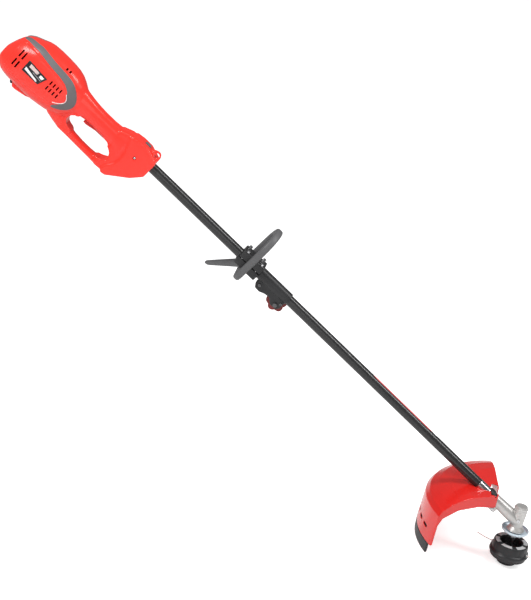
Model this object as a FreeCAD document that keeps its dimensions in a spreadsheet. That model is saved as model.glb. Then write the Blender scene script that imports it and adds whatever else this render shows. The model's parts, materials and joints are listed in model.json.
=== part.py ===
import FreeCAD, Part
import math
import os
import re
import Sketcher

# Electric string trimmer with a motor at the top of a straight shaft.
#
# Row frame: the origin is on the ground under the cutting head, in the middle of
# the bump knob.  +Z runs up the spindle, +X is forward, away from the operator,
# and +Y is the operator's left.  The shaft climbs backwards, towards -X.
#
# Shaft frame: its origin is where the shaft axis crosses the spindle axis.  Its z
# runs up the shaft, its x is the upper side of the shaft and its y is +Y.
# Every piece on the shaft is drawn in that frame and turned as a whole.

Vector = FreeCAD.Vector
Placement = FreeCAD.Placement
Rotation = FreeCAD.Rotation

doc = FreeCAD.newDocument("string_trimmer")
sheet = doc.addObject("Spreadsheet::Sheet", "Sizes")

SIZES = {
    # layout
    "spindle_height": 120, "shaft_tilt": 58,
    "running_fit": 0.05, "part_gap": 0.3, "split_gap": 0.1, "stator_gap": 0.15, "knob_gap": 0.8,
    # shaft and coupler, as places along the shaft
    "tube_outer": 26, "tube_wall": 1.5, "tube_low": 43, "tube_joint": 876, "joint_gap": 6,
    "tube_high": 1372, "sleeve_low": 109, "sleeve_high": 143, "sleeve_wall": 0.6,
    "coupler_low": 815, "coupler_high": 912, "coupler_wall": 3.2, "lug_inset": 2,
    "knob_place": 830, "knob_below_tube": 18, "knob_radius": 22, "knob_width": 17, "lug_bolt_radius": 3,
    "bushing_length": 14,
    # drive line
    "rod_radius": 4, "journal_radius": 5, "bearing_outer": 22, "bearing_width": 7,
    "socket_radius": 7, "socket_low": 830, "socket_depth": 58, "rod_high": 1508,
    "pinion_bearing_low": 26, "spindle_top": 156,
    # gear case
    "case_arm_radius": 16.5, "case_arm_high": 85, "case_collar_wall": 1.8,
    "case_floor": 95, "case_top": 164, "case_base_radius": 22, "case_waist_radius": 15.5,
    "case_head_radius": 17, "gear_room_radius": 12.4, "clamp_bolt_place": 70, "clamp_bolt_drop": 22,
    # cutting head
    "knob_foot_radius": 25.4, "knob_height": 24.4, "cover_low": 19.5, "cover_thickness": 4.2,
    "head_rim_radius": 43.8, "head_rim_height": 61, "head_flange_radius": 50.8,
    "head_flange_height": 35, "head_flange_thickness": 6, "head_side_radius": 47.5,
    "recess_radius": 28.5, "recess_floor": 40, "recess_wall": 2.5, "head_roof": 4,
    "spool_room_radius": 41.5, "spool_radius": 40, "spool_core_radius": 34, "spool_low": 24.7,
    "spool_high": 46, "flange_wall": 1.8, "feed_travel": 6, "line_height": 39.5,
    "line_diameter": 2.4, "line_angle": 158, "eyelet_setback": 1.4, "cup_radius": 35,
    "cup_low": 90, "cup_high": 98.5, "cup_wall": 2,
    # guard
    "guard_radius": 248, "guard_rim_height": 146, "guard_skirt_low": 62, "guard_crown": 190,
    "guard_wall": 2.8, "saddle_low": 88, "saddle_high": 141, "saddle_half": 24,
    "strap_low": 94.5, "strap_high": 107.5, "strap_thickness": 3,
    "extension_low": 34, "extension_high": 106, "extension_wall": 2.8,
    "cutter_reach": 214, "cutter_thickness": 1.6, "cutter_low": 40, "cutter_height": 20,
    # loop handle
    "loop_place": 950, "loop_thickness": 18, "loop_radius": 58, "loop_bar": 19,
    "loop_centre_height": 54, "loop_foot": 44, "jaw_low": 913, "jaw_high": 980, "jaw_half": 24,
    "jaw_thickness": 9, "barrier_out": 88, "barrier_down": 122, "barrier_back": 62,
    # motor housing and rear handle
    "handle_front": 1279, "housing_wall": 3, "grip_half": 21, "bar_half": 14, "bulb_wall": 11,
    "motor_axis_drop": 21, "motor_body_radius": 53, "barrel_middle": 1624, "hump_half": 32,
    "panel_rise": 1, "band_rise": 2.5, "band_width": 9, "channel_radius": 8,
    "eyelet_radius": 6.3, "eyelet_place": 1292, "eyelet_height": 32, "eyelet_half": 4,
    "trigger_half": 6.5, "trigger_pivot_place": 1407, "trigger_pivot_height": -24,
    "trigger_pin_radius": 2.5, "button_place": 1325, "button_half": 5, "button_length": 16,
    # motor
    "stator_radius": 34, "stator_bore": 21.5, "stator_low": 1587, "stator_high": 1640,
    "armature_radius": 20.8, "commutator_radius": 13, "commutator_low": 1655,
    "commutator_high": 1671, "fan_radius": 33, "fan_low": 1553, "fan_high": 1567,
    "front_bearing_low": 1540, "rear_bearing_low": 1698, "motor_shaft_low": 1510,
}

for row, (alias, value) in enumerate(SIZES.items(), 1):
    sheet.set(f"A{row}", alias)
    sheet.set(f"B{row}", str(value))
    sheet.setAlias(f"B{row}", alias)
doc.recompute()


def linked(expression):
    """The expression with every named size pointing at its cell."""
    return re.sub(r"\b[a-z]+(?:_[a-z]+)+\b", lambda word: "Sizes." + word.group(0), str(expression))


def size(expression):
    """What an expression of named sizes comes to now."""
    return float(sheet.evalExpression(linked(expression)))


SHAFT = Placement(Vector(0, 0, size("spindle_height")), Rotation(Vector(0, 1, 0), -size("shaft_tilt")))
WORLD = Placement()
ALONG_Y = Rotation(Vector(1, 0, 0), -90)
nodes = {}


def at(frame, up, left, along, turn=None):
    """A place in a frame: x, y, z as expressions, then a turn about that point."""
    spot = Vector(size(up), size(left), size(along))
    return frame * Placement(spot, turn or Rotation())


def node(part, name):
    """Names a finished sub-part, so that it is written to its own file."""
    part.Label = name
    nodes[name] = part
    return part


def outline(body, plane, points):
    """A closed sketch of straight edges on one of the body's own planes."""
    sketch = body.newObject("Sketcher::SketchObject", "Profile")
    origin_plane = next(item for item in body.Origin.OriginFeatures if item.Role == plane)
    sketch.AttachmentSupport = (origin_plane, [""])
    sketch.MapMode = "FlatFace"
    corners = [(size(across), size(along)) for across, along in points]
    count = len(points)
    for index, corner in enumerate(corners):
        following = corners[(index + 1) % count]
        sketch.addGeometry(Part.LineSegment(Vector(*corner, 0), Vector(*following, 0)), False)
    for index in range(count):
        sketch.addConstraint(Sketcher.Constraint("Coincident", index, 2, (index + 1) % count, 1))
    for index, (across, along) in enumerate(points):
        for kind, text, place in zip(("DistanceX", "DistanceY"), (across, along), corners[index]):
            number = sketch.addConstraint(Sketcher.Constraint(kind, index, 1, place))
            if "_" in str(text):
                sketch.setExpression(f"Constraints[{number}]", linked(text))
    return sketch


def turned(name, points, place=WORLD):
    """A body of revolution about its own z axis, from (radius, height) points."""
    body = doc.addObject("PartDesign::Body", name)
    sketch = outline(body, "XZ_Plane", points)
    spin = body.newObject("PartDesign::Revolution", "Spin")
    spin.Profile = sketch
    spin.ReferenceAxis = (sketch, ["V_Axis"])
    spin.Angle = 360
    body.Placement = place
    return body


def ring(name, inner, outer, low, high, place=WORLD):
    return turned(name, [(inner, low), (outer, low), (outer, high), (inner, high)], place)


def rod(name, radius, low, high, place=WORLD):
    return turned(name, [(0, low), (radius, low), (radius, high), (0, high)], place)


def slab(name, plane, points, width, place=WORLD, rounding=None):
    """A plate of an outline, as thick as width, centred on its plane."""
    body = doc.addObject("PartDesign::Body", name)
    pad = body.newObject("PartDesign::Pad", "Plate")
    pad.Profile = outline(body, plane, points)
    pad.SideType = "Symmetric"
    pad.Length = size(width)
    pad.setExpression("Length", linked(width))
    if rounding:
        doc.recompute()
        side = "Y" if plane == "XZ_Plane" else "Z"
        rim = [f"Edge{number}" for number, edge in enumerate(pad.Shape.Edges, 1)
               if getattr(edge.BoundBox, side + "Length") < 0.01]
        fillet = body.newObject("PartDesign::Fillet", "Rounding")
        fillet.Base = (pad, rim)
        fillet.Radius = size(rounding)
        fillet.setExpression("Radius", linked(rounding))
        body.Tip = fillet
    body.Placement = place
    return body


def block(name, sides, place):
    """A box centred on its place, from three expressions."""
    box = doc.addObject("Part::Box", name)
    for side, text in zip(("Length", "Width", "Height"), sides):
        setattr(box, side, size(text))
        box.setExpression(side, linked(text))
    middle = Vector(*(-size(text) / 2 for text in sides))
    box.Placement = place * Placement(middle, Rotation())
    return box


def pin(name, radius, length, place):
    """A cylinder whose middle is at its place."""
    cylinder = doc.addObject("Part::Cylinder", name)
    cylinder.Radius = size(radius)
    cylinder.setExpression("Radius", linked(radius))
    cylinder.Height = size(length)
    cylinder.setExpression("Height", linked(length))
    cylinder.Placement = place * Placement(Vector(0, 0, -size(length) / 2), Rotation())
    return cylinder


def fused(name, *parts):
    joined = doc.addObject("Part::MultiFuse", name)
    joined.Shapes = list(parts)
    return joined


def cut(name, base, *tools):
    result = doc.addObject("Part::Cut", name)
    result.Base = base
    result.Tool = tools[0] if len(tools) == 1 else fused(name + "_tools", *tools)
    return result


def common(name, first, second):
    result = doc.addObject("Part::Common", name)
    result.Base = first
    result.Tool = second
    return result


def group(name, pattern, places):
    """Several pieces in one node, from one pattern or from one pattern for each place."""
    doc.recompute()
    patterns = pattern if isinstance(pattern, list) else [pattern] * len(places)
    shapes = []
    for original, place in zip(patterns, places):
        copy = original.Shape.copy()
        copy.Placement = place * original.Shape.Placement
        shapes.append(copy)
    feature = doc.addObject("Part::Feature", name)
    feature.Shape = Part.makeCompound(shapes)
    return node(feature, name)


def half_space(name, side, place):
    """A big block on one side of the middle plane, clear of it by the split gap."""
    reach = 400
    box = doc.addObject("Part::Box", name)
    box.Length = box.Width = 2 * reach
    box.Height = 8 * reach
    start = size("split_gap") if side > 0 else -size("split_gap") - 2 * reach
    box.Placement = place * Placement(Vector(-reach, start, -reach), Rotation())
    return box


def split(whole, left_name, right_name):
    """Two clamshell halves of one shape, on the operator's left and right."""
    node(common(left_name, whole, half_space(left_name + "_side", 1, SHAFT)), left_name)
    node(common(right_name, whole, half_space(right_name + "_side", -1, SHAFT)), right_name)


# Screws and bolts -----------------------------------------------------------------

def screw_pattern(name, head_radius, head_height, shank_radius, length):
    """A cap screw along z: the underside of its head is at zero, its shank below."""
    socket = head_radius * 0.5
    points = [(0, -length), (shank_radius, -length), (shank_radius, 0), (head_radius, 0),
              (head_radius, head_height), (socket, head_height), (socket, head_height * 0.4),
              (0, head_height * 0.4)]
    return turned(name, points)


def facing(frame, up, side, along):
    """A screw that goes in along y from one side: its head faces that side."""
    toward = Rotation(Vector(1, 0, 0), 90 if side[0] == "-" else -90)
    return at(frame, up, side, along, toward)


# Shaft, sleeve and bushings ---------------------------------------------------------

def shaft_tubes():
    inner = "tube_outer / 2 - tube_wall"
    outer = "tube_outer / 2"
    node(ring("lower_tube", inner, outer, "tube_low", "tube_joint - joint_gap / 2", SHAFT), "lower_tube")
    node(ring("upper_tube", inner, outer, "tube_joint + joint_gap / 2", "tube_high", SHAFT), "upper_tube")
    sleeve = ring("tube_sleeve", "tube_outer / 2 + 0.02", "tube_outer / 2 + sleeve_wall",
                  "sleeve_low", "sleeve_high", SHAFT)
    node(sleeve, "tube_sleeve")
    bushing = ring("bushing", "rod_radius + running_fit", inner + " - 0.02", "-bushing_length / 2",
                   "bushing_length / 2")
    low = size("tube_low")
    joint = size("tube_joint")
    high = size("tube_high")
    lower_spots = [low + (joint - low) * share for share in (0.2, 0.4, 0.6, 0.8)]
    upper_spots = [joint + (high - joint) * share for share in (0.25, 0.55, 0.85)]
    group("lower_bushings", bushing, [at(SHAFT, 0, 0, spot) for spot in lower_spots])
    group("upper_bushings", bushing, [at(SHAFT, 0, 0, spot) for spot in upper_spots])


# Split coupler under the loop handle ---------------------------------------------------

def coupler():
    """Two halves split down the middle, each with a lug below the tube."""
    drop = "-(tube_outer / 2 + knob_below_tube)"
    side = "(tube_outer / 2 - lug_inset)"
    sleeve = rod("coupler_sleeve", "tube_outer / 2 + coupler_wall", "coupler_low", "coupler_high", SHAFT)
    lug = slab("coupler_lug", "XZ_Plane", [
        (-4, "coupler_high - 9"), (-26, "coupler_high - 9"), (-35, "coupler_high - 16"),
        (-36, "coupler_high - 30"), (-30, "coupler_high - 44"), (-28, "knob_place + 24"),
        (drop + " - 9", "knob_place + 10"), (drop + " - 9", "knob_place - 8"),
        (drop, "coupler_low + 1"), (-4, "coupler_low + 1")], "2 * " + side, SHAFT, 2)
    bore = rod("coupler_bore", "tube_outer / 2 + running_fit", "coupler_low - 10", "coupler_high + 10", SHAFT)
    across = [("-22", "coupler_high - 20"), ("-20", "coupler_low + 6")]
    holes = [pin(f"coupler_hole_{number}", 2.1, 60, at(SHAFT, up, 0, along, ALONG_Y))
             for number, (up, along) in enumerate(across)]
    bolt_hole = pin("coupler_bolt_hole", "lug_bolt_radius + 0.1", 60,
                    at(SHAFT, drop, 0, "knob_place", ALONG_Y))
    split(cut("coupler", fused("coupler_solid", sleeve, lug), bore, bolt_hole, *holes),
          "coupler_left", "coupler_right")
    screw = screw_pattern("coupler_screw_pattern", 3.6, 3, 2.05, 19)
    group("coupler_screws", screw, [facing(SHAFT, up, "-" + side, along) for up, along in across])
    bolt = turned("coupler_bolt", [
        (0, f"-{side} - 5"), (5.5, f"-{side} - 5"), (5.5, "-" + side), ("lug_bolt_radius", "-" + side),
        ("lug_bolt_radius", side + " + knob_width - 4"), (0, side + " + knob_width - 4")],
        at(SHAFT, drop, 0, "knob_place", ALONG_Y))
    node(bolt, "coupler_bolt")
    star_knob()


def star_knob():
    """Six-lobed clamping knob on the operator's left end of the coupler bolt."""
    base = at(SHAFT, "-(tube_outer / 2 + knob_below_tube)",
              "tube_outer / 2 - lug_inset + knob_gap + knob_width / 2", "knob_place", ALONG_Y)
    hub = pin("knob_hub", "knob_radius - 5", "knob_width", base)
    lobes = []
    for step in range(6):
        turn = Placement(Vector(), Rotation(Vector(0, 0, 1), 60 * step))
        outward = Placement(Vector(size("knob_radius") - 6, 0, 0), Rotation())
        lobes.append(pin(f"knob_lobe_{step}", 6, "knob_width - 4", base * turn * outward))
    hole = pin("knob_hole", "lug_bolt_radius + running_fit", "knob_width",
               base * Placement(Vector(0, 0, -3), Rotation()))
    node(cut("coupler_knob", fused("knob_solid", hub, *lobes), hole), "coupler_knob")


# Loop handle, its clamp and the barrier bar ----------------------------------------------

def loop_handle():
    """A closed D loop across the shaft with the lower clamp jaw moulded under it."""
    top = at(SHAFT, "loop_centre_height", 0, "loop_place")
    height = "loop_centre_height + loop_foot"
    middle = at(SHAFT, "(loop_centre_height - loop_foot) / 2", 0, "loop_place")
    hollow = at(SHAFT, "(loop_centre_height - loop_foot + 24) / 2", 0, "loop_place")
    outer = fused("loop_outer",
                  pin("loop_arch", "loop_radius", "loop_thickness", top),
                  block("loop_legs", (height, "2 * loop_radius", "loop_thickness"), middle))
    inner = fused("loop_inner",
                  pin("loop_arch_gap", "loop_radius - loop_bar", "loop_thickness + 2", top),
                  block("loop_leg_gap", (height + " - 24", "2 * (loop_radius - loop_bar)",
                                         "loop_thickness + 2"), hollow))
    jaw_length = "jaw_high - jaw_low"
    jaw_depth = "tube_outer / 2 + jaw_thickness"
    jaw_middle = "(jaw_low + jaw_high) / 2"
    jaw = block("lower_jaw", (jaw_depth + " - 1", "2 * jaw_half", jaw_length),
                at(SHAFT, f"-({jaw_depth}) / 2 - 0.5", 0, jaw_middle))
    bore = rod("jaw_bore", "tube_outer / 2 + running_fit", "jaw_low - 5", "jaw_high + 5", SHAFT)
    spots = [(left, along) for along in ("jaw_low + 12", "jaw_high - 9")
             for left in ("-jaw_half + 5", "jaw_half - 5")]
    holes = [pin(f"jaw_hole_{number}", 2.6, 90, at(SHAFT, 0, left, along,
                 Rotation(Vector(0, 1, 0), 90))) for number, (left, along) in enumerate(spots)]
    frame = cut("loop_frame", outer, inner)
    node(cut("loop_handle", fused("loop_solid", frame, jaw), bore, *holes), "loop_handle")
    cap = block("upper_jaw", (jaw_depth + " - 1", "2 * jaw_half", jaw_length),
                at(SHAFT, f"({jaw_depth}) / 2 + 0.5", 0, jaw_middle))
    node(cut("handle_clamp", cap, bore, *holes), "handle_clamp")
    bolt = screw_pattern("handle_bolt_pattern", 4.4, 4.5, 2.5, 36)
    group("handle_bolts", bolt, [at(SHAFT, "tube_outer / 2 + jaw_thickness", left, along,
                                    Rotation(Vector(0, 1, 0), 90)) for left, along in spots])
    barrier_bar()


def barrier_bar():
    """A tapered bar that keeps the operator's leg away from the head."""
    root = Vector(-size("loop_foot") + 12, size("loop_radius") + size("part_gap"), size("loop_place"))
    tip = Vector(-size("barrier_down"), size("barrier_out") + 20, size("loop_place") + size("barrier_back"))
    sections = []
    for centre, length, depth in ((root, 18, 20), (tip, 13, 10)):
        corners = [Vector(centre.x - depth / 2, centre.y, centre.z - length / 2),
                   Vector(centre.x + depth / 2, centre.y, centre.z - length / 2),
                   Vector(centre.x + depth / 2, centre.y, centre.z + length / 2),
                   Vector(centre.x - depth / 2, centre.y, centre.z + length / 2)]
        sections.append(Part.makePolygon(corners + corners[:1]))
    feature = doc.addObject("Part::Feature", "barrier_bar")
    feature.Shape = Part.makeLoft(sections, True, True)
    feature.Placement = SHAFT
    node(feature, "barrier_bar")


# Drive line: motor, rods, pinion, gear and spindle -----------------------------------------

def drive_rods():
    socket_floor = "socket_low + socket_depth"
    node(turned("upper_drive_shaft", [
        ("rod_radius + running_fit", "socket_low"), ("socket_radius", "socket_low"),
        ("socket_radius", socket_floor + " + 4"), ("rod_radius", socket_floor + " + 8"),
        ("rod_radius", "rod_high"), (0, "rod_high"), (0, socket_floor),
        ("rod_radius + running_fit", socket_floor)], SHAFT), "upper_drive_shaft")
    journal_low = "pinion_bearing_low - 0.4"
    journal_high = "pinion_bearing_low + bearing_width + 1"
    node(turned("lower_drive_shaft", [
        (0, 12), (3, 12), (3, journal_low), ("journal_radius", journal_low),
        ("journal_radius", journal_high), ("rod_radius", journal_high),
        ("rod_radius", socket_floor + " - 4"), (0, socket_floor + " - 4")], SHAFT), "lower_drive_shaft")


PINION_TEETH = 12
GEAR_TEETH = 16
GEAR_RATIO = GEAR_TEETH / PINION_TEETH


def bevel_pair():
    """Straight bevel gears whose pitch cones meet where the two axes cross."""
    tilt = math.radians(size("shaft_tilt"))
    gear_cone = math.atan2(math.sin(tilt), 1 / GEAR_RATIO + math.cos(tilt))
    pinion_cone = tilt - gear_cone
    clearance = 0.2
    low, high = 11.8, 19
    pinion = turned("pinion_blank", [
        (3.02, low), (low * math.tan(pinion_cone) - clearance, low),
        (high * math.tan(pinion_cone) - clearance, high),
        (high * math.tan(pinion_cone) - clearance, "pinion_bearing_low - 0.5"),
        (3.02, "pinion_bearing_low - 0.5")], SHAFT)
    low = high * math.tan(pinion_cone)
    node(toothed("drive_pinion", pinion, SHAFT, PINION_TEETH, low, high), "drive_pinion")
    low, high = 10.5, 17.2
    bottom = f"spindle_height + {low}"
    top = f"spindle_height + {high}"
    gear = turned("gear_blank", [
        ("journal_radius + 0.02", bottom), (low * math.tan(gear_cone) - clearance, bottom),
        (high * math.tan(gear_cone) - clearance, top), (8, top), (8, "spindle_height + 25"),
        ("journal_radius + 0.02", "spindle_height + 25")])
    lift = at(WORLD, 0, 0, "spindle_height")
    node(toothed("bevel_gear", gear, lift, GEAR_TEETH, high * math.tan(gear_cone), high), "bevel_gear")


def toothed(name, blank, frame, teeth, radius, height):
    """Tooth gaps cut along the cone of a gear blank, all round it."""
    slope = math.degrees(math.atan2(radius, height))
    gaps = []
    for step in range(teeth):
        turn = Placement(Vector(), Rotation(Vector(0, 0, 1), 360 * step / teeth))
        lean = Placement(Vector(radius, 0, height), Rotation(Vector(0, 1, 0), slope))
        gaps.append(block(f"{name}_gap_{step}", (1.8, radius * 0.19, 5), frame * turn * lean))
    return cut(name, blank, *gaps)


def spindle():
    node(turned("output_shaft", [
        (0, "recess_floor - 6"), ("journal_radius", "recess_floor - 6"), ("journal_radius", 72), (9, 72),
        (9, "cup_low"), ("journal_radius", "cup_low"), ("journal_radius", "spindle_top"),
        (0, "spindle_top")]), "output_shaft")
    bearing = ring("gear_bearing", "journal_radius + 0.02", "bearing_outer / 2", 0, "bearing_width")
    group("gear_bearings", bearing, [
        at(WORLD, 0, 0, "case_floor + 3"), at(WORLD, 0, 0, "spindle_height + 26"),
        at(SHAFT, 0, 0, "pinion_bearing_low")])


def motor():
    node(turned("motor_shaft", [
        (0, "motor_shaft_low"), ("journal_radius", "motor_shaft_low"),
        ("journal_radius", "rear_bearing_low + bearing_width + 3"),
        (0, "rear_bearing_low + bearing_width + 3")], SHAFT), "motor_shaft")
    bore = "journal_radius + 0.02"
    coupling = turned("shaft_coupling", [
        ("rod_radius + 0.02", "rod_high - 18"), (9, "rod_high - 18"), (9, "motor_shaft_low + 20"),
        (bore, "motor_shaft_low + 20"), (bore, "motor_shaft_low - 1"),
        ("rod_radius + 0.02", "motor_shaft_low - 1")], SHAFT)
    node(coupling, "shaft_coupling")
    core = ring("armature_blank", bore, "armature_radius", "stator_low + 1", "stator_high - 1", SHAFT)
    slots = []
    for step in range(12):
        turn = Placement(Vector(), Rotation(Vector(0, 0, 1), 30 * step))
        outward = Placement(Vector(size("armature_radius") - 3, 0, size("stator_low")), Rotation())
        slots.append(block(f"armature_slot_{step}", (8, 2.2, 140), SHAFT * turn * outward))
    node(cut("armature_core", core, *slots), "armature_core")
    node(ring("commutator", bore, "commutator_radius", "commutator_low", "commutator_high", SHAFT),
         "commutator")
    fan()
    stator = ring("stator_ring", "stator_radius - 5", "stator_radius", "stator_low", "stator_high", SHAFT)
    poles = []
    for side in (-1, 1):
        middle = f"{side} * (stator_radius - 6 + stator_bore) / 2"
        poles.append(block(f"stator_pole_{side}", ("stator_radius - 2 - stator_bore", 26,
                                                   "stator_high - stator_low"),
                           at(SHAFT, middle, 0, "(stator_low + stator_high) / 2")))
    bore_tool = rod("stator_bore_tool", "stator_bore", "stator_low - 5", "stator_high + 5", SHAFT)
    node(cut("stator_core", fused("stator_solid", stator, *poles), bore_tool), "stator_core")
    coil = ring("coil_ring", "stator_bore + 1", "stator_radius - 5.3", "stator_low - 9", "stator_high + 9",
                SHAFT)
    pole_room = block("coil_gap", (80, 30, 200), at(SHAFT, 0, 0, "stator_low"))
    node(cut("field_coils", coil, pole_room), "field_coils")
    bearing = ring("motor_bearing", bore, "bearing_outer / 2", 0, "bearing_width")
    group("motor_bearings", bearing, [at(SHAFT, 0, 0, "front_bearing_low"),
                                      at(SHAFT, 0, 0, "rear_bearing_low")])
    middle = "(commutator_low + commutator_high) / 2"
    brush = block("brush_pattern", (7, 22, 10), WORLD)
    group("carbon_brushes", brush, [
        at(SHAFT, 0, f"{side} * (commutator_radius + 11 + part_gap)", middle) for side in (-1, 1)])
    holder = cut("holder_pattern", block("holder_block", (13, 20, 15), WORLD),
                 block("holder_slot", (7.4, 30, 10.4), WORLD))
    group("brush_holders", holder, [
        at(SHAFT, 0, f"{side} * (commutator_radius + 17)", middle) for side in (-1, 1)])


def fan():
    """Radial fan that draws air in over the motor from the rear slots."""
    blades = []
    for step in range(9):
        turn = Placement(Vector(), Rotation(Vector(0, 0, 1), 40 * step))
        reach = (size("fan_radius") + 9) / 2
        outward = Placement(Vector(reach, 0, size("(fan_low + fan_high) / 2")), Rotation())
        blades.append(block(f"fan_blade_{step}", ("fan_radius - 9.5", 1.6, "fan_high - fan_low"),
                            SHAFT * turn * outward))
    disc = ring("fan_disc", "journal_radius + 0.02", "fan_radius", "fan_low - 1.5", "fan_low + 0.5", SHAFT)
    hub = ring("fan_hub", "journal_radius + 0.02", 10, "fan_low", "fan_high", SHAFT)
    node(fused("cooling_fan", disc, hub, *blades), "cooling_fan")


# Gear case ---------------------------------------------------------------------------------

def gear_case():
    collar = "tube_outer / 2 + case_collar_wall"
    arm = turned("case_arm", [
        (0, 0), ("case_arm_radius", 0), ("case_arm_radius", 40), (collar + " + 0.8", 60),
        (collar, "case_arm_high"), (0, "case_arm_high")], SHAFT)
    barrel = turned("case_barrel", [
        (0, "case_floor"), ("case_base_radius", "case_floor"), ("case_base_radius", "case_floor + 4"),
        ("case_waist_radius", "case_floor + 13"), ("case_waist_radius", "case_floor + 24"),
        ("case_head_radius - 0.5", "case_top - 24"), ("case_head_radius", "case_top - 8"),
        ("case_head_radius - 2", "case_top"), (0, "case_top")])
    lug = block("clamp_lug", (18, 18, 18), at(SHAFT, "-clamp_bolt_drop + 4", 0, "clamp_bolt_place"))
    spindle_room = turned("spindle_room", [
        (0, "case_floor - 5"), ("journal_radius + 2", "case_floor - 5"),
        ("journal_radius + 2", "case_floor + 2.7"), ("bearing_outer / 2 + running_fit", "case_floor + 2.7"),
        ("bearing_outer / 2 + running_fit", "case_floor + bearing_width + 3.3"),
        ("gear_room_radius", "case_floor + bearing_width + 4"),
        ("gear_room_radius", "spindle_height + 25.7"),
        ("bearing_outer / 2 + running_fit", "spindle_height + 25.7"),
        ("bearing_outer / 2 + running_fit", "spindle_top + 1"), (0, "spindle_top + 1")])
    pinion_room = turned("pinion_room", [
        (0, 0), (9.5, 0), (9.5, "pinion_bearing_low - 0.3"),
        ("bearing_outer / 2 + running_fit", "pinion_bearing_low - 0.3"),
        ("bearing_outer / 2 + running_fit", "pinion_bearing_low + bearing_width + 0.3"),
        (9.5, "pinion_bearing_low + bearing_width + 0.3"), (9.5, "tube_low - part_gap"),
        ("tube_outer / 2 + running_fit", "tube_low - part_gap"),
        ("tube_outer / 2 + running_fit", "case_arm_high + 5"), (0, "case_arm_high + 5")], SHAFT)
    bolt_hole = pin("clamp_hole", 2.6, 60, at(SHAFT, "-clamp_bolt_drop", 0, "clamp_bolt_place", ALONG_Y))
    slot = block("clamp_slot", (20, 1.6, 32), at(SHAFT, "-clamp_bolt_drop", 0, "case_arm_high - 15"))
    plug_hole = pin("plug_hole", 2.6, 12, at(WORLD, 0, -18, "spindle_height + 8", ALONG_Y))
    node(cut("gear_case", fused("case_solid", arm, barrel, lug), spindle_room, pinion_room, bolt_hole,
             slot, plug_hole), "gear_case")
    screw = screw_pattern("case_bolt_pattern", 4.3, 4.4, 2.5, 14)
    group("case_clamp_bolt", screw, [facing(SHAFT, "-clamp_bolt_drop", "-9", "clamp_bolt_place")])
    plug = screw_pattern("grease_plug", 4.3, 3, 2.5, 2.6)
    plug.Placement = facing(WORLD, 0, "-case_waist_radius - 1", "spindle_height + 8")
    node(plug, "grease_plug")


# Cutting head --------------------------------------------------------------------------------

def cutting_head():
    recess_inner = "recess_radius + recess_wall"
    housing = turned("head_blank", [
        ("journal_radius + 0.05", "recess_floor - 6"), (9, "recess_floor - 6"),
        (9, "recess_floor - recess_wall"), (recess_inner, "recess_floor - recess_wall"),
        (recess_inner, "head_rim_height - head_roof"), ("spool_room_radius", "head_rim_height - head_roof"),
        ("spool_room_radius", "cover_low + cover_thickness + 0.3"),
        ("head_side_radius", "cover_low + cover_thickness + 0.3"),
        ("head_flange_radius", "head_flange_height - head_flange_thickness"),
        ("head_flange_radius", "head_flange_height"), ("head_side_radius - 1.5", "head_flange_height + 4"),
        ("head_rim_radius + 1", "head_rim_height - 4"), ("head_rim_radius", "head_rim_height"),
        ("recess_radius", "head_rim_height"), ("recess_radius", "recess_floor"),
        ("journal_radius + 0.05", "recess_floor")])
    outlets = []
    for turn in (0, 180):
        spin = Rotation(Vector(0, 0, 1), size("line_angle") + turn)
        outlets.append(pin(f"line_outlet_{turn}", 3.05, 30, Placement(Vector(0, 0, size("line_height")), spin)
                           * Placement(Vector(47, 0, 0), Rotation(Vector(0, 1, 0), 90))))
        outlets.append(pin(f"eyelet_seat_{turn}", 4.5, 12, Placement(Vector(0, 0, size("line_height")), spin)
                           * Placement(Vector(size("head_flange_radius") + 2.5, 0, 0),
                                       Rotation(Vector(0, 1, 0), 90))))
    node(cut("head_housing", housing, *outlets), "head_housing")
    node(ring("head_cover", "knob_foot_radius + 0.6", "head_side_radius - 1", "cover_low",
              "cover_low + cover_thickness"), "head_cover")
    inner_end = "spool_room_radius + 1"
    lip = "head_flange_radius - 3.2"
    outer_end = "head_flange_radius - eyelet_setback"
    eyelet = turned("eyelet_pattern", [
        (1.7, inner_end), (3, inner_end), (3, lip), (4.4, lip), (4.4, outer_end), (1.7, outer_end)])
    outward = Rotation(Vector(0, 1, 0), 90)
    places = [Placement(Vector(0, 0, size("line_height")),
                        Rotation(Vector(0, 0, 1), size("line_angle") + turn) * outward) for turn in (0, 180)]
    group("line_eyelets", eyelet, places)
    low = "spool_low"
    high = "spool_high"
    core = "spool_core_radius"
    rim = "spool_radius"
    node(turned("line_spool", [
        (8, low), (rim, low), (rim, "spool_low + flange_wall"), (core, "spool_low + flange_wall"),
        (core, "spool_high - flange_wall"), (rim, "spool_high - flange_wall"), (rim, high),
        (recess_inner + " + 1", high), (recess_inner + " + 1", "spool_low + 2.2"), (8, "spool_low + 2.2")]),
        "line_spool")
    node(ring("line_coil", core + " + 0.05", rim + " - 1.5", "spool_low + flange_wall + 0.1",
              "spool_high - flange_wall - 0.1"), "line_coil")
    node(turned("bump_knob", [
        (0, 0), ("knob_foot_radius - 4", 0), ("knob_foot_radius", 3.5),
        ("knob_foot_radius", "knob_height - 4"), ("knob_foot_radius - 1", "knob_height"),
        (0, "knob_height")]), "bump_knob")
    node(ring("feed_spring", 13, 16, "spool_low + 2.2 + part_gap",
              "recess_floor - recess_wall - feed_travel - 0.5"), "feed_spring")
    node(turned("cup_plate", [
        ("journal_radius + 0.02", "cup_low"), ("cup_radius - 4", "cup_low"), ("cup_radius", "cup_low + 4"),
        ("cup_radius", "cup_high"), ("cup_radius - cup_wall", "cup_high"),
        ("cup_radius - cup_wall", "cup_low + 5"), ("cup_radius - 5", "cup_low + cup_wall"),
        ("journal_radius + 0.02", "cup_low + cup_wall")]), "cup_plate")
    cutting_lines()


LINE_ROUTE = [(0, 0), (15, 0.6), (31, 3.0), (46, 7.5)]


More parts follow.
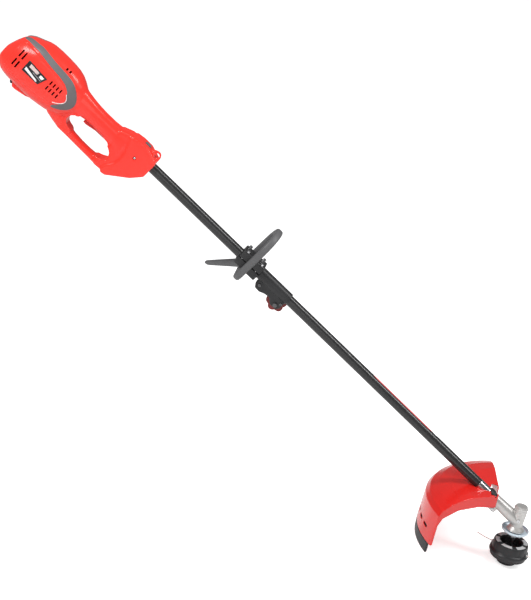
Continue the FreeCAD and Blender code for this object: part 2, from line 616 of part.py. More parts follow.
def cutting_lines():
    """Two free ends of nylon line, each a tube of straight runs and tangent arcs."""
    for turn, name in ((0, "cutting_line_a"), (180, "cutting_line_b")):
        start = size("head_flange_radius - eyelet_setback")
        points = [Vector(start + along, -aside, 0) for along, aside in LINE_ROUTE]
        wire, length = rounded_route(points, name)
        section = Part.Wire(Part.makeCircle(size("line_diameter") / 2, points[0], points[1] - points[0]))
        tube = wire.makePipeShell([section], True, False)
        area = math.pi * size("line_diameter") ** 2 / 4
        print(name, "length", round(length, 2), "volume ratio", round(tube.Volume / (area * length), 5))
        feature = doc.addObject("Part::Feature", name)
        feature.Shape = tube
        spin = Rotation(Vector(0, 0, 1), size("line_angle") + turn)
        feature.Placement = Placement(Vector(0, 0, size("line_height")), spin)
        node(feature, name)


def rounded_route(points, name):
    """A wire through a cord's points, each corner an arc as large as its runs allow."""
    edges = []
    start = points[0]
    for before, corner, after in zip(points, points[1:], points[2:]):
        back = (before - corner).normalize()
        ahead = (after - corner).normalize()
        turn = math.pi - back.getAngle(ahead)
        shorter = min((before - corner).Length, (after - corner).Length)
        setback = 0.45 * shorter
        radius = setback / math.tan(turn / 2)
        print(name, "arc radius", round(radius, 1))
        first = corner + back * setback
        last = corner + ahead * setback
        inward = (back + ahead).normalize()
        middle = corner + inward * (radius / math.cos(turn / 2) - radius)
        edges.append(Part.LineSegment(start, first).toShape())
        edges.append(Part.Arc(first, middle, last).toShape())
        start = last
    edges.append(Part.LineSegment(start, points[-1]).toShape())
    wire = Part.Wire(edges)
    return wire, wire.Length


# Guard, its strap, the skirt extension and the line cutter ---------------------------------------

def guard_shape(name, inset):
    """The fan-shaped shield as a solid, drawn in by an inset from its outer skin."""
    dome = turned(name + "_dome", [
        (50, 30), (f"guard_radius - {inset}", 30), (f"guard_radius - {inset}", "guard_skirt_low"),
        (f"guard_radius - 3 - {inset}", f"guard_rim_height - {inset}"),
        (f"guard_radius - 12 - {inset}", f"guard_rim_height + 14 - {inset}"),
        (f"guard_radius - 32 - {inset / 2}", f"guard_rim_height + 27 - {inset}"),
        ("guard_radius - 62", f"guard_crown - 6 - {inset}"),
        (f"guard_radius - 100", f"guard_crown - {inset}"), (50, f"guard_crown - 2 - {inset}")])
    side = inset * 1.25
    plan = slab(name + "_plan", "XY_Plane", [
        (-66 - inset, -26 + side), (-205, -137 + side), (-330, -237 + side), (-330, 330),
        (-104 - side, 330), (-78 - side, 120), (-66 - inset, 26)], 600)
    return common(name, dome, plan)


def guard():
    shell = cut("guard_shell", guard_shape("guard_outer", 0), guard_shape("guard_inner", size("guard_wall")))
    under_dome = slab("guard_hollow_floor", "XZ_Plane", [
        (-400, -200), (0, -200), (0, "guard_skirt_low"), (-400, "guard_skirt_low")], 900)
    near_edge = slab("guard_near_edge", "XZ_Plane", [
        (-202, 0), (-200, 118), (-192, 137), (-158, 156), (-110, 160), (-72, 153), (-40, 153), (-40, 0)],
        400, Placement(Vector(0, -200, 0), Rotation()))
    far_edge = slab("guard_far_edge", "XZ_Plane", [
        (-202, 0), (-202, 62), (-150, 86), (-100, 130), (-78, 153), (-40, 153), (-40, 0)],
        400, Placement(Vector(0, 200.01, 0), Rotation()))
    saddle = slab("guard_saddle", "XZ_Plane", [
        ("-tube_outer / 2 - 14", "saddle_low + 6"), ("-tube_outer / 2 - 14", "saddle_high + 4"),
        (-1, "saddle_high"), (-1, "saddle_low"), ("-tube_outer / 2 - 6", "saddle_low")],
        "2 * saddle_half", SHAFT)
    tube_room = rod("guard_tube_room", "tube_outer / 2 + sleeve_wall + part_gap", "saddle_low - 30", 330,
                    SHAFT)
    open_top = block("guard_open_top", (60, "tube_outer + 2 * sleeve_wall + 2 * part_gap", 260),
                     at(SHAFT, 30, 0, 190))
    arm_room = rod("guard_arm_room", "tube_outer / 2 + case_collar_wall + 1.4", 30,
                   "case_arm_high + part_gap + 0.7", SHAFT)
    strap_room = block("guard_strap_room", (40, "2 * saddle_half + 14", "strap_high - strap_low + 1"),
                       at(SHAFT, "19.4 - 0.2", 0, "(strap_low + strap_high) / 2"))
    slots = []
    for step in range(7):
        turn = Rotation(Vector(0, 0, 1), 180 + 22 - 9.4 * step)
        slots.append(block(f"guard_slot_{step}", (14, 24, 7), Placement(Vector(0, 0, 94), turn)
                           * Placement(Vector(size("guard_radius"), 0, 0), Rotation())))
    holes = [pin(f"saddle_hole_{number}", 2.6, 60, spot) for number, spot in enumerate(strap_spots("-16"))]
    solid = fused("guard_solid", cut("guard_skin", shell, under_dome, near_edge, far_edge), saddle)
    node(cut("guard", solid, tube_room, open_top, arm_room, strap_room, *slots, *holes), "guard")
    arch = ring("strap_arch", "tube_outer / 2 + part_gap", "tube_outer / 2 + part_gap + strap_thickness",
                "strap_low", "strap_high", SHAFT)
    lower = block("strap_lower_half", (40, 60, 40), at(SHAFT, -20, 0, "(strap_low + strap_high) / 2"))
    ears = [block(f"strap_ear_{side}", ("strap_thickness", 11, "strap_high - strap_low"),
                  at(SHAFT, "strap_thickness / 2", f"{side} * (tube_outer / 2 + part_gap + 6)",
                     "(strap_low + strap_high) / 2")) for side in (-1, 1)]
    strap_holes = [pin(f"strap_hole_{number}", 2.6, 60, spot) for number, spot in enumerate(strap_spots("0"))]
    bore = rod("strap_bore", "tube_outer / 2 + part_gap", "strap_low - 5", "strap_high + 5", SHAFT)
    node(cut("guard_strap", fused("strap_solid", cut("strap_upper", arch, lower), *ears), bore, *strap_holes),
         "guard_strap")
    screw = screw_pattern("guard_screw_pattern", 4, 3.2, 2.5, 7)
    spots = strap_spots("strap_thickness")
    spots += [cutter_spot(height) for height in (5, 15)]
    group("guard_screws", screw, spots)


def strap_spots(height):
    """Where the two strap screws sit, their heads facing the top of the shaft."""
    return [at(SHAFT, height, f"{side} * (tube_outer / 2 + 7)", "(strap_low + strap_high) / 2",
               Rotation(Vector(0, 1, 0), 90)) for side in (-1, 1)]


def cutter_frame():
    """The far end of the skirt extension: x points outwards, y runs round the rim."""
    return Placement(Vector(0, 0, size("cutter_low")), Rotation(Vector(0, 0, 1), 180 - 34))


def cutter_spot(height):
    inner_face = size("guard_radius - guard_wall - 0.9 - extension_wall - cutter_thickness - 1.9")
    return cutter_frame() * Placement(Vector(inner_face, 9, height), Rotation(Vector(0, 1, 0), -90))


def skirt_extension():
    outer = "guard_radius - guard_wall - 0.9"
    strip = turned("extension_ring", [
        (outer + " - extension_wall", "extension_low + 4"), ("guard_radius - 4.5", "extension_low"),
        ("guard_radius - 1", "extension_low"), ("guard_radius", "guard_skirt_low - part_gap"),
        (outer, "guard_skirt_low - part_gap"), (outer + " - 2.4", "extension_high"),
        (outer + " - extension_wall - 2.4", "extension_high")])
    plan = slab("extension_plan", "XY_Plane", [
        (0, 0), (-257 * 1.4, -150 * 1.4), (-257 * 1.6, 0), (-257 * 1.3, 190 * 1.3)], 400)
    holes = [pin(f"cutter_hole_{height}", 2.6, 40, cutter_spot(height)) for height in (5, 15)]
    node(cut("skirt_extension", common("extension_strip", strip, plan), *holes), "skirt_extension")
    face = size("guard_radius - guard_wall - 0.9 - extension_wall - 1.9")
    reach = size("cutter_reach")
    thickness = size("cutter_thickness")
    blade = slab("line_cutter", "XY_Plane", [
        (face, -10), (face, 18), (face - thickness, 18), (face - thickness, -10 + thickness),
        (reach, -10 + thickness), (reach - 3, -10)], "cutter_height",
        cutter_frame() * Placement(Vector(0, 0, size("cutter_height / 2")), Rotation()))
    bored = cut("line_cutter_bored", blade, *[pin(f"blade_hole_{height}", 2.6, 40, cutter_spot(height))
                                              for height in (5, 15)])
    node(bored, "line_cutter")


# Motor housing with the rear handle -------------------------------------------------------------

def motor_barrel(name, inset):
    """The round motor body, its axis dropped and tipped against the shaft's."""
    radius = f"motor_body_radius - {inset}"
    place = at(SHAFT, "-motor_axis_drop", 0, "barrel_middle", Rotation(Vector(0, 1, 0), -3.8))
    return turned(name, [
        (0, -97 + inset), (27 - inset, -97 + inset), (radius + " - 7", -79 + inset), (radius + " - 1", -59),
        (radius, -24), (radius, 76), (radius + " - 7", f"98 - {inset * 0.7}"),
        (radius + " - 21", 107 - inset), (0, 107 - inset)], place)


def motor_hump(name, inset):
    """The raised back over the motor, which sits higher than the round body."""
    return slab(name, "XZ_Plane", [
        (10, 1676 - inset), (33 - inset, 1674 - inset), (46 - inset, 1662 - inset), (51 - inset, 1640),
        (51.5 - inset, 1596), (48 - inset, 1560), (41 - inset, 1537 + inset * 0.4),
        (26 - inset, 1515 + inset), (10, 1515 + inset)], f"2 * (hump_half - {inset})", SHAFT, 10 - inset)


def housing_solid():
    grip = slab("grip_solid", "XZ_Plane", [
        (26, 1545), (23, 1489), (19.5, 1449), (19.5, 1418), (24, 1385), (30, 1365), (-38, 1365), (-36, 1392),
        (-30, 1410), (-29.5, 1488), (-38, 1506), (-60, 1545)], "2 * grip_half", SHAFT, 8)
    lower_bar = slab("lower_bar_solid", "XZ_Plane", [
        (-62, 1376), (-86, 1360), (-93.2, 1360), (-93.2, 1500), (-90, 1522), (-76, 1550), (-40, 1550),
        (-42, 1509), (-66, 1506), (-76, 1440), (-74, 1400), (-64, 1384)], "2 * bar_half", SHAFT, 3)
    bulb = slab("bulb_solid", "XZ_Plane", [
        (34, 1366), (36, 1340), (36, 1312), (17, "handle_front"), (-26, "handle_front"), (-52, 1301),
        (-94, 1354), (-94, 1364), (-80, 1378), (-50, 1382), (20, 1384)], "tube_outer + 2 * bulb_wall",
        SHAFT, 5)
    tab = slab("eyelet_tab", "XZ_Plane", [
        (30, 1318), ("eyelet_height + 9", "eyelet_place + 10"), ("eyelet_height + 10", "eyelet_place - 2"),
        ("eyelet_height + 6", "eyelet_place - 8"), (14, "handle_front + 2"), (10, 1300)],
        "2 * eyelet_half", SHAFT)
    blister = slab("gland_blister", "XZ_Plane", [
        (-60, 1674), (-82, 1668), (-98, 1658), (-98, 1648), (-80, 1590), (-60, 1590)], 26, SHAFT, 3)
    panel = slab("side_panel", "XZ_Plane", [
        (21, 1700), (17, 1545), (8, 1538), (-24, 1541), (-33, 1550), (-60, 1690), (-50, 1702), (10, 1706)],
        "2 * (motor_body_radius + panel_rise)", SHAFT, 2)
    return fused("housing_outer", motor_barrel("barrel_outer", 0), motor_hump("hump_outer", 0), grip,
                 lower_bar, bulb, tab, blister, panel)


def band_outline(inset):
    """The trim band runs along the panel's top edge and round its front end."""
    return [(21.5 + inset, 1704 - inset), (17.5 + inset, 1545), (8.5, 1537.5 - inset), (-24, 1540.5 - inset),
            (-34 - inset, 1551)]


def band_slab(name, gap, low, high, side):
    inner = band_outline(0.5 - gap)
    outer = band_outline(size("band_width") - 1 + gap)
    middle = (low + high) / 2
    place = at(SHAFT, 0, side * middle, 0)
    return slab(name, "XZ_Plane", outer + inner[::-1], str(high - low), place)


def housing():
    outer = housing_solid()
    slab_list = []
    for side in (-1, 1):
        slab_list.append(band_slab(f"band_seat_{side}", 0.2, size("motor_body_radius - 12.2"),
                                   size("motor_body_radius + 7"), side))
    motor_room = motor_barrel("barrel_room", size("housing_wall"))
    hump_room = motor_hump("hump_room", size("housing_wall"))
    tube_room = rod("housing_tube_room", "tube_outer / 2 + running_fit", "handle_front - 20",
                    "tube_high + part_gap", SHAFT)
    channel = rod("drive_channel", "channel_radius", "tube_high - 10", 1500, SHAFT)
    coupling_room = rod("coupling_room", "bearing_outer / 2 + 1", "rod_high - 24", "front_bearing_low - 2",
                        SHAFT)
    switch_room = block("switch_room", (11.6, 20.6, 40.6), at(SHAFT, -12.9, 0, 1447))
    trigger_room = block("trigger_room", (24, "2 * trigger_half + 1", 86), at(SHAFT, -29.8, 0, 1438))
    pivot = at(SHAFT, "trigger_pivot_height", 0, "trigger_pivot_place", ALONG_Y)
    pivot_hole = pin("pivot_hole", "trigger_pin_radius + running_fit", "2 * trigger_half + 9", pivot)
    spring_place = at(SHAFT, 0, 0, 1474, Rotation(Vector(0, 1, 0), 90))
    spring_room = rod("trigger_spring_room", 3.3, -20, -7.3, spring_place)
    button_room = block("button_room", (30, "2 * button_half + 0.8", "button_length + 0.8"),
                        at(SHAFT, 30, 0, "button_place"))
    eyelet_hole = pin("eyelet_hole", "eyelet_radius", 60,
                      at(SHAFT, "eyelet_height", 0, "eyelet_place", ALONG_Y))
    gland_hole = pin("gland_hole", 7.6, 30, gland_place(0))
    label_seat = slab("label_seat", "XZ_Plane", label_outline(0.3), 3,
                      at(SHAFT, 0, "-motor_body_radius - panel_rise", 0))
    screws = [pin(f"housing_screw_hole_{number}", 1.8, 80, at(SHAFT, up, 0, along, ALONG_Y))
              for number, (up, along) in enumerate(SCREW_SPOTS)]
    recesses = [pin(f"housing_screw_recess_{number}", 4.6, 12,
                    at(SHAFT, up, f"-({depth}) - 3", along, ALONG_Y))
                for number, ((up, along), depth) in enumerate(zip(SCREW_SPOTS, SCREW_DEPTHS))]
    shell = cut("housing_shell", outer, motor_room, hump_room, tube_room, channel, coupling_room, switch_room,
                trigger_room, pivot_hole, spring_room, button_room, eyelet_hole, gland_hole, label_seat,
                *slab_list, *screws, *recesses, *vent_slots())
    seat_depth = size("housing_wall") - 0.5
    mount_zone = fused("mount_zone", motor_barrel("barrel_zone", seat_depth),
                       motor_hump("hump_zone", seat_depth))
    mounts = common("mounts_inside", fused("motor_mounts", *motor_mounts()), mount_zone)
    seated = fused("housing_with_mounts", shell, mounts)
    split(seated, "housing_left", "housing_right")


SCREW_SPOTS = [(-6, 1327), (-84, 1470), (-62, 1345)]
SCREW_DEPTHS = ["tube_outer / 2 + bulb_wall - 4", "bar_half - 3", "tube_outer / 2 + bulb_wall - 4"]


def gland_place(shift):
    lean = Rotation(Vector(0, 1, 0), -38)
    return at(SHAFT, -84, 0, 1660, lean) * Placement(Vector(0, 0, shift), Rotation())


def motor_mounts():
    """Ribs inside the housing that hold the stator and the two motor bearings."""
    ribs = []
    for number, place in enumerate(("stator_low + 6", "stator_high - 6")):
        wall = block(f"stator_rib_{number}", (140, 120, 5), at(SHAFT, "-motor_axis_drop", 0, place))
        hole = rod(f"stator_rib_hole_{number}", "stator_radius + stator_gap", "stator_low - 40",
                   "stator_high + 40", SHAFT)
        ribs.append(cut(f"stator_mount_{number}", wall, hole))
    for number, low in enumerate(("front_bearing_low", "rear_bearing_low")):
        wall = block(f"bearing_rib_{number}", (140, 120, "bearing_width"),
                     at(SHAFT, "-motor_axis_drop", 0, low + " + bearing_width / 2"))
        hole = rod(f"bearing_rib_hole_{number}", "bearing_outer / 2 + running_fit", low + " - 20",
                   low + " + 30", SHAFT)
        ribs.append(cut(f"bearing_mount_{number}", wall, hole))
    brush_middle = "(commutator_low + commutator_high) / 2"
    for side in (-1, 1):
        brush_side = f"{side} * (commutator_radius + 23)"
        shelf = block(f"brush_shelf_{side}", (26, 26, 15.6), at(SHAFT, 0, brush_side, brush_middle))
        seat = block(f"brush_seat_{side}", (13.6, 80, 15.8), at(SHAFT, 0, brush_side, brush_middle))
        ribs.append(cut(f"brush_mount_{side}", shelf, seat))
    return ribs


def vent_slots():
    """Air slots: four long ones behind the label and short ones ahead of it."""
    slots = []
    rear = [(up, along) for along in (1680, 1690) for up in (-2, -30)]
    front = [(up, along) for along in (1562, 1572, 1582, 1592) for up in (-6, -22)]
    for number, (up, along) in enumerate(rear):
        slots.append(block(f"rear_vent_{number}", (22, 140, 4.5), at(SHAFT, up, 0, along)))
    for number, (up, along) in enumerate(front):
        slots.append(block(f"front_vent_{number}", (12, 140, 3.6), at(SHAFT, up, 0, along)))
    return slots


def label_outline(gap):
    return [(0 + gap, 1664 + gap), (-5 + gap, 1604 - gap), (-31 - gap, 1614 - gap), (-31 - gap, 1664 + gap)]


def housing_fittings():
    for side, name in ((-1, "trim_band_right"), (1, "trim_band_left")):
        node(band_slab(name, 0, size("motor_body_radius - 12"), size("motor_body_radius + band_rise"), side),
             name)
    label = slab("label_plate", "XZ_Plane", label_outline(0), 1.2,
                 at(SHAFT, 0, "-motor_body_radius - panel_rise + 0.6", 0))
    node(label, "label_plate")
    lengths = (4, 18, 18)
    screws = [screw_pattern(f"housing_screw_pattern_{number}", 3.4, 2.4, 1.75, length)
              for number, length in enumerate(lengths)]
    group("housing_screws", screws, [facing(SHAFT, up, "-(" + depth + ") + 3", along)
                                    for (up, along), depth in zip(SCREW_SPOTS, SCREW_DEPTHS)])
    gland = turned("cord_gland", [(3.6, -2), (3.6, 12), (6.2, 12), (7.5, 6), (7.5, -12), (0, -12), (0, -2)],
                   gland_place(0))
    node(gland, "cord_gland")
    node(block("power_switch", (11, 20, 40), at(SHAFT, -12.9, 0, 1447)), "power_switch")
    lever = slab("trigger_lever", "XZ_Plane", [
        (-20.5, 1399), (-31, 1400), (-31.5, 1440), (-37, 1468), (-36, 1476), (-26, 1477), (-22, 1440)],
        "2 * trigger_half", SHAFT, 1.2)
    pivot = at(SHAFT, "trigger_pivot_height", 0, "trigger_pivot_place", ALONG_Y)
    node(fused("trigger", lever, pin("trigger_pin", "trigger_pin_radius", "2 * trigger_half + 8", pivot)),
         "trigger")
    across = Rotation(Vector(0, 1, 0), 90)
    node(ring("trigger_spring", 1.8, 3, -19.4, -7.6, at(SHAFT, 0, 0, 1474, across)), "trigger_spring")
    node(block("lock_off_button", (17, "2 * button_half", "button_length"),
               at(SHAFT, 29.5, 0, "button_place")), "lock_off_button")
    under_button = at(SHAFT, 0, 0, "button_place", across)
    node(ring("lock_off_spring", 1.8, 3, "tube_outer / 2 + 2.2", "tube_outer / 2 + 5", under_button),
         "lock_off_spring")


shaft_tubes()
coupler()
loop_handle()
drive_rods()
bevel_pair()
spindle()
motor()
gear_case()
cutting_head()
guard()
skirt_extension()
housing()
housing_fittings()

doc.recompute()
faults = [item.Name for item in doc.Objects if {"Invalid", "Error"} & set(item.State)]
for name, part in nodes.items():
    if part.Shape.isNull() or not part.Shape.isValid() or not part.Shape.Solids:
        faults.append(name)
if faults:
    raise RuntimeError("these did not build: " + ", ".join(faults))
os.makedirs("parts", exist_ok=True)
for name, part in nodes.items():
    part.Shape.exportStep(f"parts/{name}.step")
print(len(nodes), "nodes")
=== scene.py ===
import json
import math
import bpy
import bmesh
from mathutils import Matrix, Vector
from mathutils.bvhtree import BVHTree


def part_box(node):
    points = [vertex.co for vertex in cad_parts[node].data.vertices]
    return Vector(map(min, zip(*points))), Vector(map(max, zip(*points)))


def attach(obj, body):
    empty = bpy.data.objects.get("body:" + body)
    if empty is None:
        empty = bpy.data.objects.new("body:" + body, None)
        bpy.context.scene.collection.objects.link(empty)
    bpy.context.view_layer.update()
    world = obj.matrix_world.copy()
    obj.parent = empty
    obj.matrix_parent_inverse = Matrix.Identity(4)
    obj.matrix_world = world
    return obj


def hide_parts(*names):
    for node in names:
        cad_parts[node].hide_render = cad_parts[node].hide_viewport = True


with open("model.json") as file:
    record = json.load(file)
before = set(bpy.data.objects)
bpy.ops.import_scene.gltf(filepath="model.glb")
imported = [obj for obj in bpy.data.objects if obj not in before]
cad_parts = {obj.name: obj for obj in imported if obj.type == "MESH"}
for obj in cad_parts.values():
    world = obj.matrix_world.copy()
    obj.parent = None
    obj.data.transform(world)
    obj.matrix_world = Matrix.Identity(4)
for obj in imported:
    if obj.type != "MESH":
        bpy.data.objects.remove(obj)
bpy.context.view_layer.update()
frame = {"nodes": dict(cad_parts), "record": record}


# Camera, floor and light ----------------------------------------------------------------
# A plain pale studio.  The tool is held in the air by its handle, with the bump knob
# just on the floor.

def aim(azimuth, elevation, roll, distance, target):
    """The camera's matrix: it looks at target from an angle, turned by roll."""
    a, e, r = (math.radians(angle) for angle in (azimuth, elevation, roll))
    back = Vector((math.sin(a) * math.cos(e), -math.cos(a) * math.cos(e), math.sin(e)))
    level = Vector((math.cos(a), math.sin(a), 0))
    raised = back.cross(level)
    right = level * math.cos(r) + raised * math.sin(r)
    upward = raised * math.cos(r) - level * math.sin(r)
    turned_axes = Matrix((right, upward, back)).transposed().to_4x4()
    return Matrix.Translation(Vector(target) + back * distance) @ turned_axes


camera = bpy.data.objects.new("studio_camera", bpy.data.cameras.new("studio_camera"))
bpy.context.scene.collection.objects.link(camera)
camera.data.sensor_width = 36
camera.data.lens = 99.06
camera.data.clip_end = 60
CAMERA_AZIMUTH, CAMERA_ELEVATION, CAMERA_ROLL = 4.17, 21.38, 12.58
CAMERA_DISTANCE = 4.078
VIEW_CENTRE = (-0.7466, 0, 0.5358)
camera.matrix_world = aim(CAMERA_AZIMUTH, CAMERA_ELEVATION, CAMERA_ROLL, CAMERA_DISTANCE, VIEW_CENTRE)
bpy.context.scene.camera = camera
bpy.context.scene.view_settings.view_transform = "Standard"

# The room is dimmer in reflections, which keeps the black plastic and paint black.
ROOM_LIGHT, ROOM_LIGHT_IN_REFLECTIONS = 0.42, 0.16
world = bpy.data.worlds.new("soft_white_room")
world.use_nodes = True
world.node_tree.nodes["Background"].inputs["Color"].default_value = (1, 1, 1, 1)
room_light = world.node_tree.nodes.new("ShaderNodeMapRange")
room_light.inputs["To Min"].default_value = ROOM_LIGHT
room_light.inputs["To Max"].default_value = ROOM_LIGHT_IN_REFLECTIONS
ray_kind = world.node_tree.nodes.new("ShaderNodeLightPath")
world.node_tree.links.new(ray_kind.outputs["Is Glossy Ray"], room_light.inputs["Value"])
world.node_tree.links.new(room_light.outputs["Result"],
                          world.node_tree.nodes["Background"].inputs["Strength"])
bpy.context.scene.world = world


def softbox(name, place, facing_point, width, height, power):
    """A rectangular lamp at a place, turned to a point; metres and watts."""
    lamp = bpy.data.lights.new(name, "AREA")
    lamp.shape = "RECTANGLE"
    lamp.size, lamp.size_y, lamp.energy = width, height, power
    holder = bpy.data.objects.new(name, lamp)
    holder.location = place
    beam = Vector(facing_point) - Vector(place)
    holder.rotation_euler = beam.to_track_quat("-Z", "Y").to_euler()
    bpy.context.scene.collection.objects.link(holder)


softbox("key_softbox", (-2.1, -1.5, 2.7), (-0.8, 0, 0.5), 1.3, 1.0, 62)
softbox("rim_strip", (0.9, -0.2, 2.2), (-0.5, 0, 0.5), 0.4, 1.8, 34)
softbox("front_fill", (-0.2, -3.4, 1.2), (-0.6, 0, 0.5), 1.8, 1.8, 14)

FLOOR_REACH = 14
floor_corners = [(x * FLOOR_REACH, y * FLOOR_REACH, 0) for x, y in ((-1, -1), (1, -1), (1, 1), (-1, 1))]
floor_mesh = bpy.data.meshes.new("studio_floor")
floor_mesh.from_pydata(floor_corners, [], [(0, 1, 2, 3)])
studio_floor = bpy.data.objects.new("studio_floor", floor_mesh)
bpy.context.scene.collection.objects.link(studio_floor)
floor_paint = bpy.data.materials.new("pale_floor")
floor_paint.use_nodes = True
floor_shader = floor_paint.node_tree.nodes["Principled BSDF"]
floor_shader.inputs["Base Color"].default_value = (0.93, 0.93, 0.93, 1)
floor_shader.inputs["Roughness"].default_value = 0.9
floor_shader.inputs["Specular IOR Level"].default_value = 0.1
floor_shader.inputs["Emission Color"].default_value = (0.62, 0.62, 0.62, 1)
seen_directly = floor_paint.node_tree.nodes.new("ShaderNodeLightPath")
floor_paint.node_tree.links.new(seen_directly.outputs["Is Camera Ray"],
                                floor_shader.inputs["Emission Strength"])
floor_mesh.materials.append(floor_paint)


# Cutting lines --------------------------------------------------------------------------
# Two free ends of 2.4 mm nylon trimmer line, extruded and slightly milky.  Each comes
# out of its eyelet in the head and keeps a little of the curl it had on the spool.

def new_group(name, inputs, outputs):
    """An empty shader node group with named inputs and outputs."""
    group = bpy.data.node_groups.new(name, "ShaderNodeTree")
    for label, kind, value in inputs:
        socket = group.interface.new_socket(label, in_out="INPUT", socket_type=kind)
        socket.default_value = value
    for label, kind in outputs:
        group.interface.new_socket(label, in_out="OUTPUT", socket_type=kind)
    entry = group.nodes.new("NodeGroupInput")
    leaving = group.nodes.new("NodeGroupOutput")
    return group, entry, leaving


def grain_group():
    """Fine moulding or casting grain as a height, with a cloudy mask for tone and gloss."""
    group, entry, leaving = new_group(
        "surface_grain",
        [("Scale", "NodeSocketFloat", 900.0), ("Cloud Scale", "NodeSocketFloat", 14.0)],
        [("Height", "NodeSocketFloat"), ("Cloud", "NodeSocketFloat")])
    place = group.nodes.new("ShaderNodeTexCoord")
    for label, source, detail in (("Height", "Scale", 3), ("Cloud", "Cloud Scale", 4)):
        noise = group.nodes.new("ShaderNodeTexNoise")
        noise.inputs["Detail"].default_value = detail
        group.links.new(place.outputs["Object"], noise.inputs["Vector"])
        group.links.new(entry.outputs[source], noise.inputs["Scale"])
        group.links.new(noise.outputs["Fac"], leaving.inputs[label])
    return group


def wear_group():
    """A mask for rubbed edges: high on outward edges, broken up by noise."""
    group, entry, leaving = new_group(
        "rubbed_edges",
        [("Start", "NodeSocketFloat", 0.53), ("Full", "NodeSocketFloat", 0.62)],
        [("Edge", "NodeSocketFloat")])
    shape = group.nodes.new("ShaderNodeNewGeometry")
    place = group.nodes.new("ShaderNodeTexCoord")
    noise = group.nodes.new("ShaderNodeTexNoise")
    noise.inputs["Scale"].default_value = 160
    group.links.new(place.outputs["Object"], noise.inputs["Vector"])
    limits = group.nodes.new("ShaderNodeMapRange")
    group.links.new(shape.outputs["Pointiness"], limits.inputs["Value"])
    group.links.new(entry.outputs["Start"], limits.inputs["From Min"])
    group.links.new(entry.outputs["Full"], limits.inputs["From Max"])
    broken = group.nodes.new("ShaderNodeMath")
    broken.operation = "MULTIPLY"
    group.links.new(limits.outputs["Result"], broken.inputs[0])
    group.links.new(noise.outputs["Fac"], broken.inputs[1])
    group.links.new(broken.outputs["Value"], leaving.inputs["Edge"])
    return group


surface_grain = grain_group()
rubbed_edges = wear_group()


def mixed(tree, factor, first, second):
    """A colour between two others, by a factor socket."""
    mix = tree.nodes.new("ShaderNodeMix")
    mix.data_type = "RGBA"
    tree.links.new(factor, mix.inputs["Factor"])
    for socket, colour in ((mix.inputs[6], first), (mix.inputs[7], second)):
        if isinstance(colour, tuple):
            socket.default_value = (*colour, 1)
        else:
            tree.links.new(colour, socket)
    return mix.outputs[2]


PLASTIC_SHINE, METAL_SHINE = 0.35, 0.5
LACQUER_ROUGHNESS = 0.08
GRAIN_DEPTH = 0.0003


def finish(name, colour, tone, rubbed, roughness, spread=0.08, grain=900, bump=0.08, metallic=0.0,
           coat=0.0, start=0.53, full=0.62, cloud=14.0):
    """A material with a cloudy tone, rubbed edges, uneven gloss and fine grain."""
    material = bpy.data.materials.new(name)
    material.use_nodes = True
    tree = material.node_tree
    shader = tree.nodes["Principled BSDF"]
    shader.inputs["Metallic"].default_value = metallic
    shader.inputs["Coat Weight"].default_value = coat
    shader.inputs["Specular IOR Level"].default_value = METAL_SHINE if metallic else PLASTIC_SHINE
    shader.inputs["Coat Roughness"].default_value = LACQUER_ROUGHNESS
    surface = tree.nodes.new("ShaderNodeGroup")
    surface.node_tree = surface_grain
    surface.inputs["Scale"].default_value = grain
    surface.inputs["Cloud Scale"].default_value = cloud
    edges = tree.nodes.new("ShaderNodeGroup")
    edges.node_tree = rubbed_edges
    edges.inputs["Start"].default_value = start
    edges.inputs["Full"].default_value = full
    clouded = mixed(tree, surface.outputs["Cloud"], colour, tone)
    worn = mixed(tree, edges.outputs["Edge"], clouded, rubbed)
    tree.links.new(worn, shader.inputs["Base Color"])
    gloss = tree.nodes.new("ShaderNodeMapRange")
    gloss.inputs["To Min"].default_value = roughness - spread
    gloss.inputs["To Max"].default_value = roughness + spread
    tree.links.new(surface.outputs["Cloud"], gloss.inputs["Value"])
    tree.links.new(gloss.outputs["Result"], shader.inputs["Roughness"])
    relief = tree.nodes.new("ShaderNodeBump")
    relief.inputs["Strength"].default_value = bump
    relief.inputs["Distance"].default_value = GRAIN_DEPTH
    tree.links.new(surface.outputs["Height"], relief.inputs["Height"])
    tree.links.new(relief.outputs["Normal"], shader.inputs["Normal"])
    return material


line_nylon = finish("milky_line_nylon", (0.62, 0.52, 0.48), (0.75, 0.62, 0.58), (0.8, 0.7, 0.66),
                    0.35, grain=2500, bump=0.03)
LINE_ROUTE = [(0, 0), (15, 0.6), (31, 3.0), (46, 7.5)]  # mm out of the eyelet, mm to the side
EYELET_FACE = 49.4
LINE_HEIGHT = 39.5
LINE_LENGTH, LINE_DIAMETER = 0.0468, 0.0024
for turn, node in ((158, "cutting_line_a"), (338, "cutting_line_b")):
    spin = Matrix.Rotation(math.radians(turn), 3, "Z")
    route = [spin @ Vector((EYELET_FACE + out, -aside, 0)) * 0.001 + Vector((0, 0, LINE_HEIGHT * 0.001))
             for out, aside in LINE_ROUTE]
    curve = bpy.data.curves.new(node + "_line", "CURVE")
    curve.dimensions = "3D"
    curve.bevel_depth = LINE_DIAMETER / 2
    curve.bevel_resolution = 4
    curve.use_fill_caps = True
    spline = curve.splines.new("NURBS")
    spline.points.add(len(route) - 1)
    for point, place in zip(spline.points, route):
        point.co = (*place, 1)
    spline.order_u = 3
    spline.use_endpoint_u = True
    spline.resolution_u = 12
    line = bpy.data.objects.new(node + "_line", curve)
    bpy.context.scene.collection.objects.link(line)
    curve.materials.append(line_nylon)
    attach(line, "cutting_head")
    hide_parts(node)


# Motor housing and rear handle ----------------------------------------------------------
# Two clamshell halves in glossy red ABS, screwed together on the middle plane.  The
# motor body runs forward into the grip, and a closed guard bar goes round the fingers.

